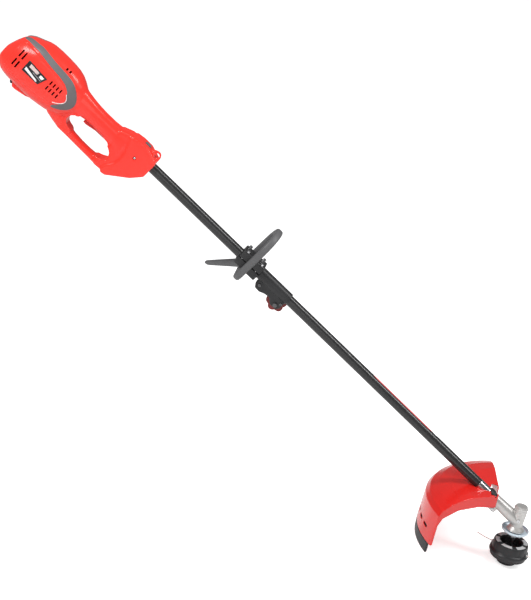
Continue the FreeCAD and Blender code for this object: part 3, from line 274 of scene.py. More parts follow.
joints = {joint["name"]: joint for joint in frame["record"]["behaviour"]["joints"]}
ALONG = Vector(joints["motor_spin"]["axis"])
LEFT = Vector((0, 1, 0))
UPPER = Vector((ALONG.z, 0, -ALONG.x))
motor_spot = Vector(joints["motor_spin"]["pos_m"])
CROSSING = motor_spot - ALONG * (motor_spot.x / ALONG.x)


def on_shaft(up, left, along):
    """A point in the shaft's own frame, in millimetres, as a place in metres."""
    return CROSSING + (UPPER * up + LEFT * left + ALONG * along) * 0.001


def new_piece(name, points, faces, material, sharp=35):
    """A mesh piece with smooth shading that breaks at sharp edges."""
    mesh = bpy.data.meshes.new(name)
    mesh.from_pydata([tuple(point) for point in points], [], faces)
    bm = bmesh.new()
    bm.from_mesh(mesh)
    bmesh.ops.recalc_face_normals(bm, faces=bm.faces)
    bm.to_mesh(mesh)
    bm.free()
    mesh.polygons.foreach_set("use_smooth", [True] * len(mesh.polygons))
    mesh.set_sharp_from_angle(angle=math.radians(sharp))
    piece = bpy.data.objects.new(name, mesh)
    bpy.context.scene.collection.objects.link(piece)
    mesh.materials.append(material)
    return piece


def loft(rings):
    """Points and faces of a closed skin through rings of equal count."""
    count = len(rings[0])
    points = [point for one in rings for point in one]
    faces = []
    for level in range(len(rings) - 1):
        low, high = level * count, (level + 1) * count
        for step in range(count):
            after = (step + 1) % count
            faces.append((low + step, low + after, high + after, high + step))
    faces.append(tuple(range(count - 1, -1, -1)))
    faces.append(tuple(range((len(rings) - 1) * count, len(rings) * count)))
    return points, faces


EGG_POINTS = 48


def egg_ring(along, top, bottom, half, power):
    """A rounded cross-section of the housing at one place along the shaft."""
    middle, reach = (top + bottom) / 2, (top - bottom) / 2
    ring = []
    for step in range(EGG_POINTS):
        angle = 2 * math.pi * step / EGG_POINTS
        across, rise = math.cos(angle), math.sin(angle)
        ring.append(on_shaft(middle + reach * math.copysign(abs(rise) ** (2 / power), rise),
                             half * math.copysign(abs(across) ** (2 / power), across), along))
    return ring


PILLOW_STEPS = 5


def pillow(outline, half, rounding):
    """A slab of an outline (along, up), its two flat faces drawn in by a rounding."""
    middle = [sum(point[axis] for point in outline) / len(outline) for axis in (0, 1)]
    reach = sum(math.dist(point, middle) for point in outline) / len(outline)
    rings = []
    profile = [(half - rounding * (1 - math.sin(a)), rounding * (1 - math.cos(a)))
               for a in (math.pi / 2 * step / PILLOW_STEPS for step in range(PILLOW_STEPS + 1))]
    for side, inset in [(-y, inset) for y, inset in reversed(profile)] + profile:
        shrink = 1 - inset / reach
        rings.append([on_shaft(middle[1] + (up - middle[1]) * shrink, side,
                               middle[0] + (along - middle[0]) * shrink) for along, up in outline])
    return rings


def settled(piece):
    """Turns a piece's modifiers into its own mesh."""
    graph = bpy.context.evaluated_depsgraph_get()
    result = bpy.data.meshes.new_from_object(piece.evaluated_get(graph))
    piece.modifiers.clear()
    old = piece.data
    piece.data = result
    bpy.data.meshes.remove(old)
    return piece


def moulded(piece, voxel, passes):
    """Joins a piece's overlapping skins into one and softens its edges."""
    remesh = piece.modifiers.new("one_skin", "REMESH")
    remesh.mode = "VOXEL"
    remesh.voxel_size = voxel
    remesh.use_smooth_shade = True
    soften = piece.modifiers.new("soft_edges", "SMOOTH")
    soften.factor = 0.5
    soften.iterations = passes
    return settled(piece)


def joined(name, skins, material):
    """One mesh piece from several overlapping skins of (points, faces)."""
    points, faces = [], []
    for some_points, some_faces in skins:
        start = len(points)
        points.extend(some_points)
        faces.extend(tuple(index + start for index in face) for face in some_faces)
    return new_piece(name, points, faces, material)


def carved(piece, cutters):
    """Cuts a set of closed skins out of a piece, with their own material inside."""
    tools = bpy.data.collections.new("cutters")
    for cutter in cutters:
        tools.objects.link(cutter)
    knife = piece.modifiers.new("carve", "BOOLEAN")
    knife.operand_type = "COLLECTION"
    knife.collection = tools
    knife.solver = "MANIFOLD"
    knife.material_mode = "TRANSFER"
    settled(piece)
    for cutter in cutters:
        bpy.data.objects.remove(cutter)
    bpy.data.collections.remove(tools)


red_plastic = finish("glossy_red_housing", (0.84, 0.026, 0.016), (0.93, 0.04, 0.026), (0.95, 0.14, 0.09),
                     0.3, spread=0.05, grain=1400, bump=0.05, coat=0.2, start=0.55, full=0.7, cloud=7)
# The near-black red on the cut walls of the vents and the trigger and button gaps is painted shade for the
# dark inside of the housing.
cut_wall_painted_shade = finish("painted_shade_in_cuts", (0.05, 0.003, 0.002), (0.03, 0.002, 0.002), (0.08, 0.01, 0.01), 0.7)

# The three tapered bodies: place along the shaft, top, bottom, half width and squareness.
MOTOR_SECTIONS = [
    (1508, 24, -46, 22, 2.4), (1520, 29, -60, 29, 2.4), (1533, 37, -69, 38, 2.4),
    (1548, 44, -75, 46, 2.45), (1564, 48, -79, 50, 2.5), (1582, 50, -82, 52, 2.5),
    (1605, 51, -85, 53, 2.5), (1628, 51, -86, 53.5, 2.5), (1648, 49.5, -86, 54, 2.5),
    (1662, 46, -85, 54, 2.5), (1674, 39, -85, 54, 2.5), (1686, 34, -84, 53, 2.5),
    (1696, 30, -83, 49, 2.5), (1706, 23, -81, 44.5, 2.45), (1715, 11, -77, 38, 2.4),
    (1722, -4, -72, 31, 2.4), (1727, -18, -66, 24, 2.4), (1730, -28, -58, 15, 2.4)]
GRIP_SECTIONS = [
    (1540, 34, -50, 28, 2.4), (1515, 27, -42, 25, 2.4), (1495, 23.5, -33, 22.5, 2.4),
    (1475, 21, -29.5, 21, 2.4), (1450, 19.5, -28.5, 20.5, 2.4), (1420, 19.5, -29.5, 21, 2.4),
    (1398, 21.5, -33, 21.5, 2.4), (1380, 26, -42, 22.5, 2.4), (1364, 31, -60, 23, 2.4)]
BAR_SECTIONS = [
    (1370, -70, -94, 19, 2.6), (1395, -74.5, -94, 15.5, 2.6), (1420, -76, -94, 14, 2.6),
    (1445, -76, -93.5, 14, 2.6), (1470, -74, -93, 14.5, 2.6), (1492, -70, -92, 16, 2.6),
    (1512, -62, -91, 19, 2.6), (1532, -48, -87, 25, 2.6), (1556, -40, -79, 34, 2.5)]
# The flat-sided parts that join them, each an outline of (along, up).
BULB = [(1369, 26), (1362, 32.5), (1340, 35.5), (1316, 35), (1284, 24), (1280, 15), (1280, -26),
        (1302, -53), (1352, -92.5), (1364, -94), (1372, -86), (1364, -68), (1354, -52), (1351, -36),
        (1353, -14), (1361, 6)]
NECK = [(1398, 21), (1372, 31), (1330, 33), (1300, 20), (1300, -30), (1330, -60), (1352, -91),
        (1390, -93), (1396, -78), (1378, -69), (1373, -58), (1378, -44), (1392, -34)]
HEEL = [(1488, -24), (1490, -29.5), (1500, -33), (1506.5, -40), (1509.5, -49), (1509, -58),
        (1503.5, -65.5), (1494, -70), (1480, -73), (1480, -90), (1512, -90), (1535, -84), (1556, -72),
        (1556, -24)]
TOE = [(1340, -30), (1399, -31.5), (1388, -36), (1380, -43), (1375.5, -51.5), (1374.5, -60),
       (1378, -67.5), (1388, -72.5), (1402, -75), (1402, -92.5), (1354, -92.5), (1330, -66)]
EYELET_TAB = [(1318, 30), (1303, 39), (1297, 41.5), (1290, 42), (1284.5, 38.5), (1281, 31),
              (1280.5, 14), (1300, 10)]
GLAND_BLISTER = [(1674, -60), (1668, -82), (1658, -97), (1648, -97), (1618, -91), (1588, -78),
                 (1590, -60)]
HOUSING_VOXEL, HOUSING_SMOOTHING = 0.0013, 14

skins = [loft([egg_ring(*section) for section in sections])
         for sections in (MOTOR_SECTIONS, GRIP_SECTIONS, BAR_SECTIONS)]
for outline, half, rounding in ((BULB, 24, 3.5), (NECK, 21, 8), (HEEL, 19, 7), (TOE, 18, 7),
                                (EYELET_TAB, 4.4, 1.2), (GLAND_BLISTER, 13, 4)):
    skins.append(loft(pillow(outline, half, rounding)))
housing = moulded(joined("housing_whole", skins, red_plastic), HOUSING_VOXEL, HOUSING_SMOOTHING)


# The raised side panel: place along the shaft, and its upper and lower edge in degrees.
PANEL_EDGES = [
    (1536, 3, -3), (1538, 14, -14), (1541, 23, -20), (1548, 30, -26), (1560, 34, -30),
    (1590, 37, -34), (1630, 40, -37), (1665, 43, -40), (1688, 48, -43), (1697, 49, -44),
    (1702, 46, -42), (1704.5, 39, -37)]
BODY_CENTRE_UP = -20
PANEL_LIFT, GROOVE_DEPTH, GROOVE_WIDTH = 0.001, 0.0006, 1.6
MM_PER_DEGREE = 0.85


def raise_side_panels(piece):
    """Lifts the skin 1 mm inside the trim band on both sides, with a fine groove round it."""
    moves = []
    for vertex in piece.data.vertices:
        local = vertex.co - CROSSING
        along, up, left = local.dot(ALONG) * 1000, local.dot(UPPER) * 1000, abs(local.y) * 1000
        if not PANEL_EDGES[0][0] - 2 < along < PANEL_EDGES[-1][0] + 2 or left < 20:
            continue
        angle = math.degrees(math.atan2(up - BODY_CENTRE_UP, left))
        place = min(max(along, PANEL_EDGES[0][0]), PANEL_EDGES[-1][0] - 0.01)
        low, high = next((a, b) for a, b in zip(PANEL_EDGES, PANEL_EDGES[1:]) if a[0] <= place < b[0])
        share = (place - low[0]) / (high[0] - low[0])
        top = low[1] + (high[1] - low[1]) * share
        bottom = low[2] + (high[2] - low[2]) * share
        inside = min((top - angle) * MM_PER_DEGREE, (angle - bottom) * MM_PER_DEGREE,
                     along - PANEL_EDGES[0][0], PANEL_EDGES[-1][0] - along)
        if inside > 0:
            lift = min(1, inside / GROOVE_WIDTH)
            moves.append((vertex.index, vertex.normal * PANEL_LIFT * lift * lift * (3 - 2 * lift)))
        elif inside > -GROOVE_WIDTH:
            sink = math.sin(math.pi * -inside / GROOVE_WIDTH)
            moves.append((vertex.index, vertex.normal * -GROOVE_DEPTH * sink))
    for index, move in moves:
        piece.data.vertices[index].co += move


raise_side_panels(housing)


def box_cutter(name, up, left, along, sides):
    """A box in the shaft's frame, of given height, width and length, with painted shade on the walls it
    cuts.
    """
    high, wide, long = (side / 2 for side in sides)
    corners = [on_shaft(up + a, left + b, along + c)
               for a in (-high, high) for b in (-wide, wide) for c in (-long, long)]
    faces = [(0, 1, 3, 2), (4, 6, 7, 5), (0, 4, 5, 1), (2, 3, 7, 6), (0, 2, 6, 4), (1, 5, 7, 3)]
    return new_piece(name, corners, faces, cut_wall_painted_shade)


HOLE_POINTS = 40


def round_cutter(name, up, along, radius, low, high):
    """A round cutter between two places across the housing, red where it cuts."""
    turns = [2 * math.pi * step / HOLE_POINTS for step in range(HOLE_POINTS)]
    rings = [[on_shaft(up + radius * math.cos(turn), side, along + radius * math.sin(turn))
              for turn in turns] for side in (low, high)]
    return new_piece(name, *loft(rings), red_plastic)


# Vents: height, width into the side, and length along the shaft.
REAR_VENT, FRONT_VENT, HUMP_VENT = (20, 16, 4.4), (11, 20, 3.6), (5, 18, 5)
VENT_ACROSS, HUMP_VENT_ACROSS, HUMP_VENT_UP = 50, 34, 41
SCREW_UP, SCREW_ALONG, SCREW_RECESS = -6, 1327, 4.8
EYELET_UP, EYELET_ALONG, EYELET_RADIUS = 32, 1292, 6.3

cutters = []
for side in (-1, 1):
    for number, (up, along) in enumerate((a, b) for b in (1680, 1690) for a in (-3, -30)):
        cutters.append(box_cutter(f"rear_vent_{side}_{number}", up, side * VENT_ACROSS, along, REAR_VENT))
    for number, (up, along) in enumerate((a, b) for b in (1562, 1572, 1582, 1592) for a in (-5, -21)):
        cutters.append(box_cutter(f"front_vent_{side}_{number}", up, side * VENT_ACROSS, along, FRONT_VENT))
    for along in (1577, 1587):
        cutters.append(box_cutter(f"hump_vent_{side}_{along}", HUMP_VENT_UP, side * HUMP_VENT_ACROSS, along,
                                  HUMP_VENT))
cutters.append(round_cutter("screw_recess", SCREW_UP, SCREW_ALONG, SCREW_RECESS, -27, -20.4))
cutters.append(round_cutter("eyelet_cut", EYELET_UP, EYELET_ALONG, EYELET_RADIUS, -20, 20))
cutters.append(box_cutter("trigger_gap", -34, 0, 1438, (16, 14, 84)))
cutters.append(box_cutter("button_gap", 37, 0, 1325, (12, 10.8, 16.8)))
carved(housing, cutters)

housing_skin = BVHTree.FromPolygons([vertex.co for vertex in housing.data.vertices],
                                    [tuple(polygon.vertices) for polygon in housing.data.polygons])


SEAM_HALF_GAP = 0.0001


def half_of(whole, name, side, node):
    """One clamshell: the part of the whole housing on one side of the middle plane."""
    bm = bmesh.new()
    bm.from_mesh(whole.data)
    everything = bm.verts[:] + bm.edges[:] + bm.faces[:]
    result = bmesh.ops.bisect_plane(bm, geom=everything, plane_co=(0, side * SEAM_HALF_GAP, 0),
                                    plane_no=(0, -side, 0), clear_outer=True)
    rim = [item for item in result["geom_cut"] if isinstance(item, bmesh.types.BMEdge)]
    bmesh.ops.triangle_fill(bm, edges=rim, use_beauty=True)
    bmesh.ops.recalc_face_normals(bm, faces=bm.faces)
    mesh = bpy.data.meshes.new(name)
    bm.to_mesh(mesh)
    bm.free()
    for material in whole.data.materials:
        mesh.materials.append(material)
    mesh.polygons.foreach_set("use_smooth", [True] * len(mesh.polygons))
    mesh.set_sharp_from_angle(angle=math.radians(40))
    half = bpy.data.objects.new(name, mesh)
    bpy.context.scene.collection.objects.link(half)
    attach(half, "upper_unit")
    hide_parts(node)
    return half


half_of(housing, "housing_half_left", 1, "housing_left")
half_of(housing, "housing_half_right", -1, "housing_right")
bpy.data.objects.remove(housing)


# Trim bands and side panels -------------------------------------------------------------
# A grey satin band is clipped into each side of the motor body.  It starts near the top
# at the rear, runs along the shoulder and turns round the front of a raised red panel.

def on_body(along, angle, side):
    """The housing's surface at a place along the shaft and an angle up from the side."""
    lean = math.radians(angle)
    outward = UPPER * math.sin(lean) + LEFT * (side * math.cos(lean))
    centre = on_shaft(BODY_CENTRE_UP, 0, along)
    spot, normal, _, _ = housing_skin.ray_cast(centre + outward * 0.15, -outward)
    return spot, normal


def smooth_route(route, count):
    """Points along a smooth curve through given points of any size."""
    result = []
    for step in range(count + 1):
        place = step / count * (len(route) - 1)
        index = min(int(place), len(route) - 2)
        share = place - index
        p0, p1, p2, p3 = (route[max(0, min(len(route) - 1, index + k))] for k in (-1, 0, 1, 2))
        result.append([0.5 * (2 * b + (c - a) * share + (2 * a - 5 * b + 4 * c - d) * share ** 2
                              + (3 * b - a - 3 * c + d) * share ** 3) for a, b, c, d in zip(p0, p1, p2, p3)])
    return result


trim_grey = finish("satin_grey_trim", (0.105, 0.1, 0.105), (0.15, 0.145, 0.15), (0.3, 0.3, 0.31), 0.4,
                   grain=1600, bump=0.12, start=0.54, full=0.66)
# The thin pale line is a painted highlight: a light strip that stands in for the light catching the front
# edge of the raised panel.
highlight_line_paint = finish("painted_highlight_line", (0.75, 0.73, 0.72), (0.85, 0.83, 0.82), (0.9, 0.9, 0.9), 0.3,
                     metallic=0.4)
# The band's route: place along the shaft, angle up from the side, and half width.
BAND_ROUTE = [(1709, 78, 3), (1702, 70, 7), (1680, 60, 8.5), (1650, 53, 8.5), (1615, 48.5, 8.5),
              (1580, 46.5, 9), (1553, 42, 10.5), (1536, 30, 12), (1527.5, 12, 12.5), (1528, -8, 12),
              (1537, -22, 10), (1549, -31, 6), (1557, -36, 2)]
BAND_STEPS = 84
BAND_HEIGHT, BRIGHT_LINE_HEIGHT, BAND_ROOT = 1.3, 1.2, -1.2
BRIGHT_LINE_HALF, BRIGHT_LINE_AHEAD, BRIGHT_LINE_SQUEEZE = 0.8, 11.5, 0.72


def surface_band(name, route, side, height, material, node):
    """A strip of changing half width that follows the housing's surface."""
    centres = [(*on_body(along, angle, side), half)
               for along, angle, half in smooth_route(route, BAND_STEPS)]
    rings = []
    shoulder = [(1, height - 0.7), (0.93, height - 0.25), (0.8, height), (0.4, height + 0.15)]
    profile = [(-1, BAND_ROOT)] + [(-share, rise) for share, rise in shoulder] + [(0, height + 0.2)]
    profile += list(reversed(shoulder)) + [(1, BAND_ROOT), (0, BAND_ROOT)]
    for index, (spot, normal, half) in enumerate(centres):
        before = centres[max(0, index - 1)][0]
        after = centres[min(len(centres) - 1, index + 1)][0]
        across = normal.cross((after - before).normalized()).normalized()
        ring = []
        for share, rise in profile:
            near, face_normal, _, _ = housing_skin.find_nearest(spot + across * (share * half * 0.001))
            ring.append(near + (face_normal * 0.5 + normal * 0.5).normalized() * (rise * 0.001))
        rings.append(ring)
    band = new_piece(name, *loft(rings), material, sharp=50)
    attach(band, "upper_unit")
    if node:
        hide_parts(node)


# A painted highlight line runs a little ahead of the band's front turn on each side.
highlight_line_route = [(along + BRIGHT_LINE_AHEAD, angle * BRIGHT_LINE_SQUEEZE, BRIGHT_LINE_HALF)
                for along, angle, _ in BAND_ROUTE[7:12]]
for side, word in ((-1, "right"), (1, "left")):
    surface_band(f"trim_strip_{word}", BAND_ROUTE, side, BAND_HEIGHT, trim_grey, f"trim_band_{word}")
    surface_band(f"painted_highlight_strip_{word}", highlight_line_route, side, BRIGHT_LINE_HEIGHT, highlight_line_paint, None)


# Rating label, screws and gland ---------------------------------------------------------
# The label is a printed foil plate on the right panel: a black slanted ground with plain
# blocks.  The steel screw that shows sits in a recess near the tube, and a rubber gland
# under the motor waits for the cord.

FOIL_THICKNESS, FOIL_RISE, PRINT_RISE = 0.0009, 0.5, 0.85


def label_patch(name, corners, rise, material, cells):
    """A thin plate on the housing's right side, between four corners given as (along, up)."""
    points, faces = [], []
    for row in range(cells + 1):
        for column in range(cells + 1):
            u, v = column / cells, row / cells
            along, up = (corners[0][k] * (1 - u) * (1 - v) + corners[1][k] * u * (1 - v)
                         + corners[2][k] * u * v + corners[3][k] * (1 - u) * v for k in (0, 1))
            spot, normal, _, _ = housing_skin.ray_cast(on_shaft(up, -90, along), LEFT)
            points.append(spot + normal * (rise * 0.001))
    for row in range(cells):
        for column in range(cells):
            corner = row * (cells + 1) + column
            faces.append((corner, corner + 1, corner + cells + 2, corner + cells + 1))
    plate = new_piece(name, points, faces, material, sharp=60)
    thick = plate.modifiers.new("foil", "SOLIDIFY")
    thick.thickness = FOIL_THICKNESS
    thick.offset = 0
    settled(plate)
    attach(plate, "upper_unit")
    return plate


label_black = finish("printed_black_label", (0.012, 0.012, 0.014), (0.02, 0.02, 0.022),
                     (0.05, 0.05, 0.05), 0.34)
label_white = finish("printed_white_bar", (0.72, 0.72, 0.72), (0.8, 0.8, 0.8), (0.85, 0.85, 0.85), 0.4)
label_light = finish("printed_rose_block", (0.55, 0.42, 0.4), (0.62, 0.5, 0.48), (0.7, 0.6, 0.6), 0.4)
label_grey = finish("printed_grey_bar", (0.25, 0.25, 0.26), (0.3, 0.3, 0.31), (0.4, 0.4, 0.4), 0.4)
ground = label_patch("rating_label", [(1664, 0), (1604, -5), (1614, -31), (1664, -31)], FOIL_RISE,
                     label_black, 14)
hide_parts("label_plate")
for name, corners, ink, cells in (
        ("label_light_block", [(1655, -4), (1627, -6.3), (1629, -14), (1655, -12.5)], label_light, 6),
        ("label_small_block", [(1622, -8), (1610, -9), (1612.5, -16), (1622, -15)], label_white, 6),
        ("label_wedge", [(1660, -17.5), (1621, -25), (1619, -29.5), (1660, -24.5)], label_white, 8),
        ("label_line", [(1640, -16), (1612, -19), (1612.5, -20.5), (1640, -17.5)], label_grey, 6)):
    label_patch(name, corners, PRINT_RISE, ink, cells)

WELD_REACH = 0.00001
BEVEL_ANGLE = 35


def dressed(names, material, bevel=0.0, segments=2):
    """Gives CAD nodes a material, smooth shading and small rounded edges."""
    for name in names:
        node = frame["nodes"][name]
        node.data.materials.clear()
        node.data.materials.append(material)
        node.data.polygons.foreach_set("use_smooth", [True] * len(node.data.polygons))
        weld = node.modifiers.new("weld_seams", "WELD")
        weld.merge_threshold = WELD_REACH
        if bevel:
            edge = node.modifiers.new("rounded_edges", "BEVEL")
            edge.width = bevel
            edge.segments = segments
            edge.limit_method = "ANGLE"
            edge.angle_limit = math.radians(BEVEL_ANGLE)
        even = node.modifiers.new("even_shading", "WEIGHTED_NORMAL")
        even.weight = 80


def softened(names, material, voxel, passes):
    """Gives CAD nodes a material and the small fillets of a moulding or casting."""
    for name in names:
        node = frame["nodes"][name]
        node.data.materials.clear()
        node.data.materials.append(material)
        weld = node.modifiers.new("weld_seams", "WELD")
        weld.merge_threshold = WELD_REACH
        skin = node.modifiers.new("one_skin", "REMESH")
        skin.mode = "VOXEL"
        skin.voxel_size = voxel
        skin.use_smooth_shade = True
        fillet = node.modifiers.new("soft_edges", "SMOOTH")
        fillet.factor = 0.5
        fillet.iterations = passes


bright_steel = finish("bright_zinc_steel", (0.62, 0.62, 0.64), (0.7, 0.7, 0.71), (0.85, 0.85, 0.85),
                      0.28, metallic=1)
black_rubber = finish("black_cord_rubber", (0.016, 0.016, 0.017), (0.028, 0.028, 0.03),
                      (0.06, 0.06, 0.06), 0.6)
# The screw's head from the bottom of its cross recess out to its rim: radius and depth.
SCREW_PROFILE = [(0.5, 0.4), (0.9, 0.4), (1.1, 1.5), (2.2, 1.5), (3.0, 1.9), (3.4, 2.4), (3.4, 3.6),
                 (0.5, 3.6)]
SCREW_POINTS, SCREW_FACE, CROSS_WIDENING = 32, -24.4, 1.9
rings = []
for radius, depth in SCREW_PROFILE:
    ring = []
    for step in range(SCREW_POINTS):
        angle = 2 * math.pi * step / SCREW_POINTS
        in_cross = radius <= 1.5 and abs(math.sin(2 * angle)) <= 0.55
        reach = radius * (CROSS_WIDENING if in_cross else 1)
        ring.append(on_shaft(SCREW_UP + reach * math.cos(angle), SCREW_FACE + depth,
                             SCREW_ALONG + reach * math.sin(angle)))
    rings.append(ring)
case_screw = new_piece("case_screw", *loft(rings), bright_steel, sharp=30)
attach(case_screw, "upper_unit")
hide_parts("housing_screws")
dressed(["cord_gland"], black_rubber, 0.0008)


# Trigger and thumb button ---------------------------------------------------------------
# The trigger is a red moulded lever on a pin under the grip.  The small lock-off button
# in front of the grip is pushed down with the thumb first.

black_plastic = finish("moulded_black_plastic", (0.017, 0.017, 0.018), (0.03, 0.03, 0.032),
                       (0.1, 0.1, 0.1), 0.42, grain=1500, bump=0.15)
dark_grey = finish("moulded_dark_grey", (0.085, 0.085, 0.088), (0.12, 0.12, 0.124), (0.25, 0.25, 0.25),
                   0.45, grain=1500, bump=0.15)
# The trigger is the housing's red made darker: painted shade for its place under the grip.
trigger_red_painted_shade = finish("red_trigger_painted_shade", (0.45, 0.012, 0.01), (0.55, 0.02, 0.014), (0.8, 0.1, 0.08),
                     0.38)
dressed(["trigger"], trigger_red_painted_shade, 0.0012, 3)
dressed(["lock_off_button"], dark_grey, 0.0014, 3)


# Shaft ----------------------------------------------------------------------------------
# A painted 26 mm steel tube in two lengths, with a printed strip along the top of the
# lower one and a bare aluminium sleeve at the low end.

tube_paint = finish("gloss_black_tube", (0.007, 0.007, 0.008), (0.011, 0.011, 0.012),
                    (0.05, 0.05, 0.05), 0.26, spread=0.04, grain=500, bump=0.02, coat=0.15)
sleeve_metal = finish("drawn_aluminium", (0.68, 0.68, 0.69), (0.35, 0.35, 0.37), (0.9, 0.9, 0.9), 0.24,
                      metallic=1, cloud=60)
dressed(["upper_tube", "lower_tube"], tube_paint)
dressed(["tube_sleeve"], sleeve_metal, 0.0002)
strip_red = finish("printed_red_strip", (0.62, 0.05, 0.06), (0.75, 0.12, 0.12), (0.8, 0.3, 0.3), 0.35,
                   cloud=40)
TUBE_RADIUS = 13.0
STRIP_START, STRIP_END = 74, 106
STRIP_TAPER, STRIP_TIP, STRIP_THICKNESS = 14, 0.15, 0.15
STRIP_STEPS, STRIP_CELLS = 40, 12


def tube_strip(name, low, high, material):
    """A printed strip on top of the tube, its ends tapered; angles go up from the left side."""
    rings = []
    for step in range(STRIP_STEPS + 1):
        along = low + (high - low) * step / STRIP_STEPS
        taper = max(STRIP_TIP, min(1, (along - low) / STRIP_TAPER, (high - along) / STRIP_TAPER + STRIP_TIP))
        arc = [STRIP_START + (STRIP_END - STRIP_START) * (0.5 + (share / STRIP_CELLS - 0.5) * taper)
               for share in range(STRIP_CELLS + 1)]
        ring = []
        for radius, row in ((TUBE_RADIUS, arc), (TUBE_RADIUS + STRIP_THICKNESS, arc[::-1])):
            for angle in row:
                lean = math.radians(angle)
                ring.append(on_shaft(radius * math.sin(lean), radius * math.cos(lean), along))
        rings.append(ring)
    strip = new_piece(name, *loft(rings), material, sharp=60)
    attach(strip, "lower_boom")


tube_strip("printed_strip", 322, 530, strip_red)
tube_strip("printed_strip_end", 302, 318, label_white)


# Coupler and star knob ------------------------------------------------------------------
# Two black glass-filled nylon halves clamp the joint of the tube.  One bolt runs across
# them, and a dark red star knob on the left end tightens it by hand.

softened(["coupler_left", "coupler_right"], black_plastic, 0.0006, 6)
# The coupler's steel screws and bolt get a near-black base colour: painted shade that makes the bright steel
# look dark.
bolt_painted_shade = finish("steel_bolt_painted_shade", (0.1, 0.1, 0.105), (0.15, 0.15, 0.155), (0.4, 0.4, 0.4), 0.36,
                   metallic=1)
dressed(["coupler_screws", "coupler_bolt"], bolt_painted_shade, 0.0005)
knob_red = finish("moulded_dark_red", (0.17, 0.018, 0.018), (0.22, 0.026, 0.026), (0.4, 0.1, 0.1), 0.4)
knob_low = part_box("coupler_knob")[0]
KNOB_UP, KNOB_ALONG, KNOB_RADIUS = -31, 830, 27
KNOB_LOBES, LOBE_DEPTH, LOBE_FULLNESS, KNOB_POINTS = 6, 4.6, 0.6, 96
# From the face on the coupler outwards: depth, and how far the edge is drawn in there.
KNOB_PROFILE = [(0, 3), (0.4, 1.2), (2, 0.2), (4, 0), (13, 0), (15, 0.3), (16.6, 1.4), (17, 3.4), (17, 9),
                (15.4, 11)]
rings = []
for depth, shrink in KNOB_PROFILE:
    ring = []
    for step in range(KNOB_POINTS):
        angle = 2 * math.pi * step / KNOB_POINTS
        lobe = 0.5 + 0.5 * math.cos(KNOB_LOBES * angle)
        reach = KNOB_RADIUS - LOBE_DEPTH * (1 - lobe ** LOBE_FULLNESS) - shrink
        ring.append(on_shaft(KNOB_UP + reach * math.cos(angle), knob_low.y * 1000 + depth,
                             KNOB_ALONG + reach * math.sin(angle)))
    rings.append(ring)
star_knob = new_piece("star_knob", *loft(rings), knob_red, sharp=50)
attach(star_knob, "clamp_knob")
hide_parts("coupler_knob")


# Loop handle and barrier bar ------------------------------------------------------------
# A closed grey D handle across the shaft.  Its foot is the lower clamp jaw, a cap with
# four bolts closes on it, and a tapered barrier bar sticks out on the left.

SECTION_POINTS = 28


def rounded_section(half_wide, half_high, power):
    """A superellipse as a list of (wide, high)."""
    shape = []
    for step in range(SECTION_POINTS):
        angle = 2 * math.pi * step / SECTION_POINTS
        across, rise = math.cos(angle), math.sin(angle)
        shape.append((half_wide * math.copysign(abs(across) ** (2 / power), across),
                      half_high * math.copysign(abs(rise) ** (2 / power), rise)))
    return shape


def endless_skin(rings):
    """Points and faces of a skin through rings of equal count, the last joined to the first."""
    count = len(rings[0])
    points = [point for ring in rings for point in ring]
    faces = []
    for level in range(len(rings)):
        low, high = level * count, (level + 1) % len(rings) * count
        faces += [(low + k, low + (k + 1) % count, high + (k + 1) % count, high + k) for k in range(count)]
    return points, faces


LOOP_ALONG, LOOP_CENTRE, LOOP_MIDDLE, LOOP_FOOT = 950, 54, 48.5, -32
ROD_HALF, FOOT_HALF, HALF_LENGTH = 9.5, 12, 9
LOOP_SQUARENESS, FOOT_CORNER = 3.2, 10
# The loop's middle line as (up, left, half thickness): over the top, down the right leg,
# round a corner, along the foot, and back up on the left.
loop_path = []
for step in range(37):
    angle = math.radians(180 * step / 36)
    loop_path.append((LOOP_CENTRE + LOOP_MIDDLE * math.sin(angle), LOOP_MIDDLE * math.cos(angle), ROD_HALF))
leg = [(LOOP_CENTRE - 8.4 * step, -LOOP_MIDDLE, ROD_HALF) for step in range(1, 9)]
corner = []
for step in range(7):
    turn = math.radians(15 * step)
    corner.append((LOOP_FOOT + FOOT_CORNER - FOOT_CORNER * math.sin(turn),
                   FOOT_CORNER - LOOP_MIDDLE - FOOT_CORNER * math.cos(turn),
                   ROD_HALF + (FOOT_HALF - ROD_HALF) * step / 6))
foot = [(LOOP_FOOT, -38.5 + 7.7 * step, FOOT_HALF) for step in range(1, 10)]
loop_path += leg + corner + foot + [(up, -left, half) for up, left, half in reversed(corner)]
loop_path += [(up, -left, half) for up, left, half in reversed(leg)]
rings = []
for index, (up, left, half) in enumerate(loop_path):
    before, after = loop_path[index - 1], loop_path[(index + 1) % len(loop_path)]
    ahead = Vector((after[0] - before[0], after[1] - before[1])).normalized()
    rings.append([on_shaft(up - ahead.y * wide, left + ahead.x * wide, LOOP_ALONG + high)
                  for wide, high in rounded_section(half, HALF_LENGTH, LOOP_SQUARENESS)])
loop = new_piece("loop_grip", *endless_skin(rings), dark_grey, sharp=60)
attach(loop, "front_handle")

SEAT_RADIUS, JAW_GAP = 13.1, 1
JAW_LOW, JAW_HIGH = 913, 980
JAW_BEVEL, JAW_SHARP = 0.0022, 40


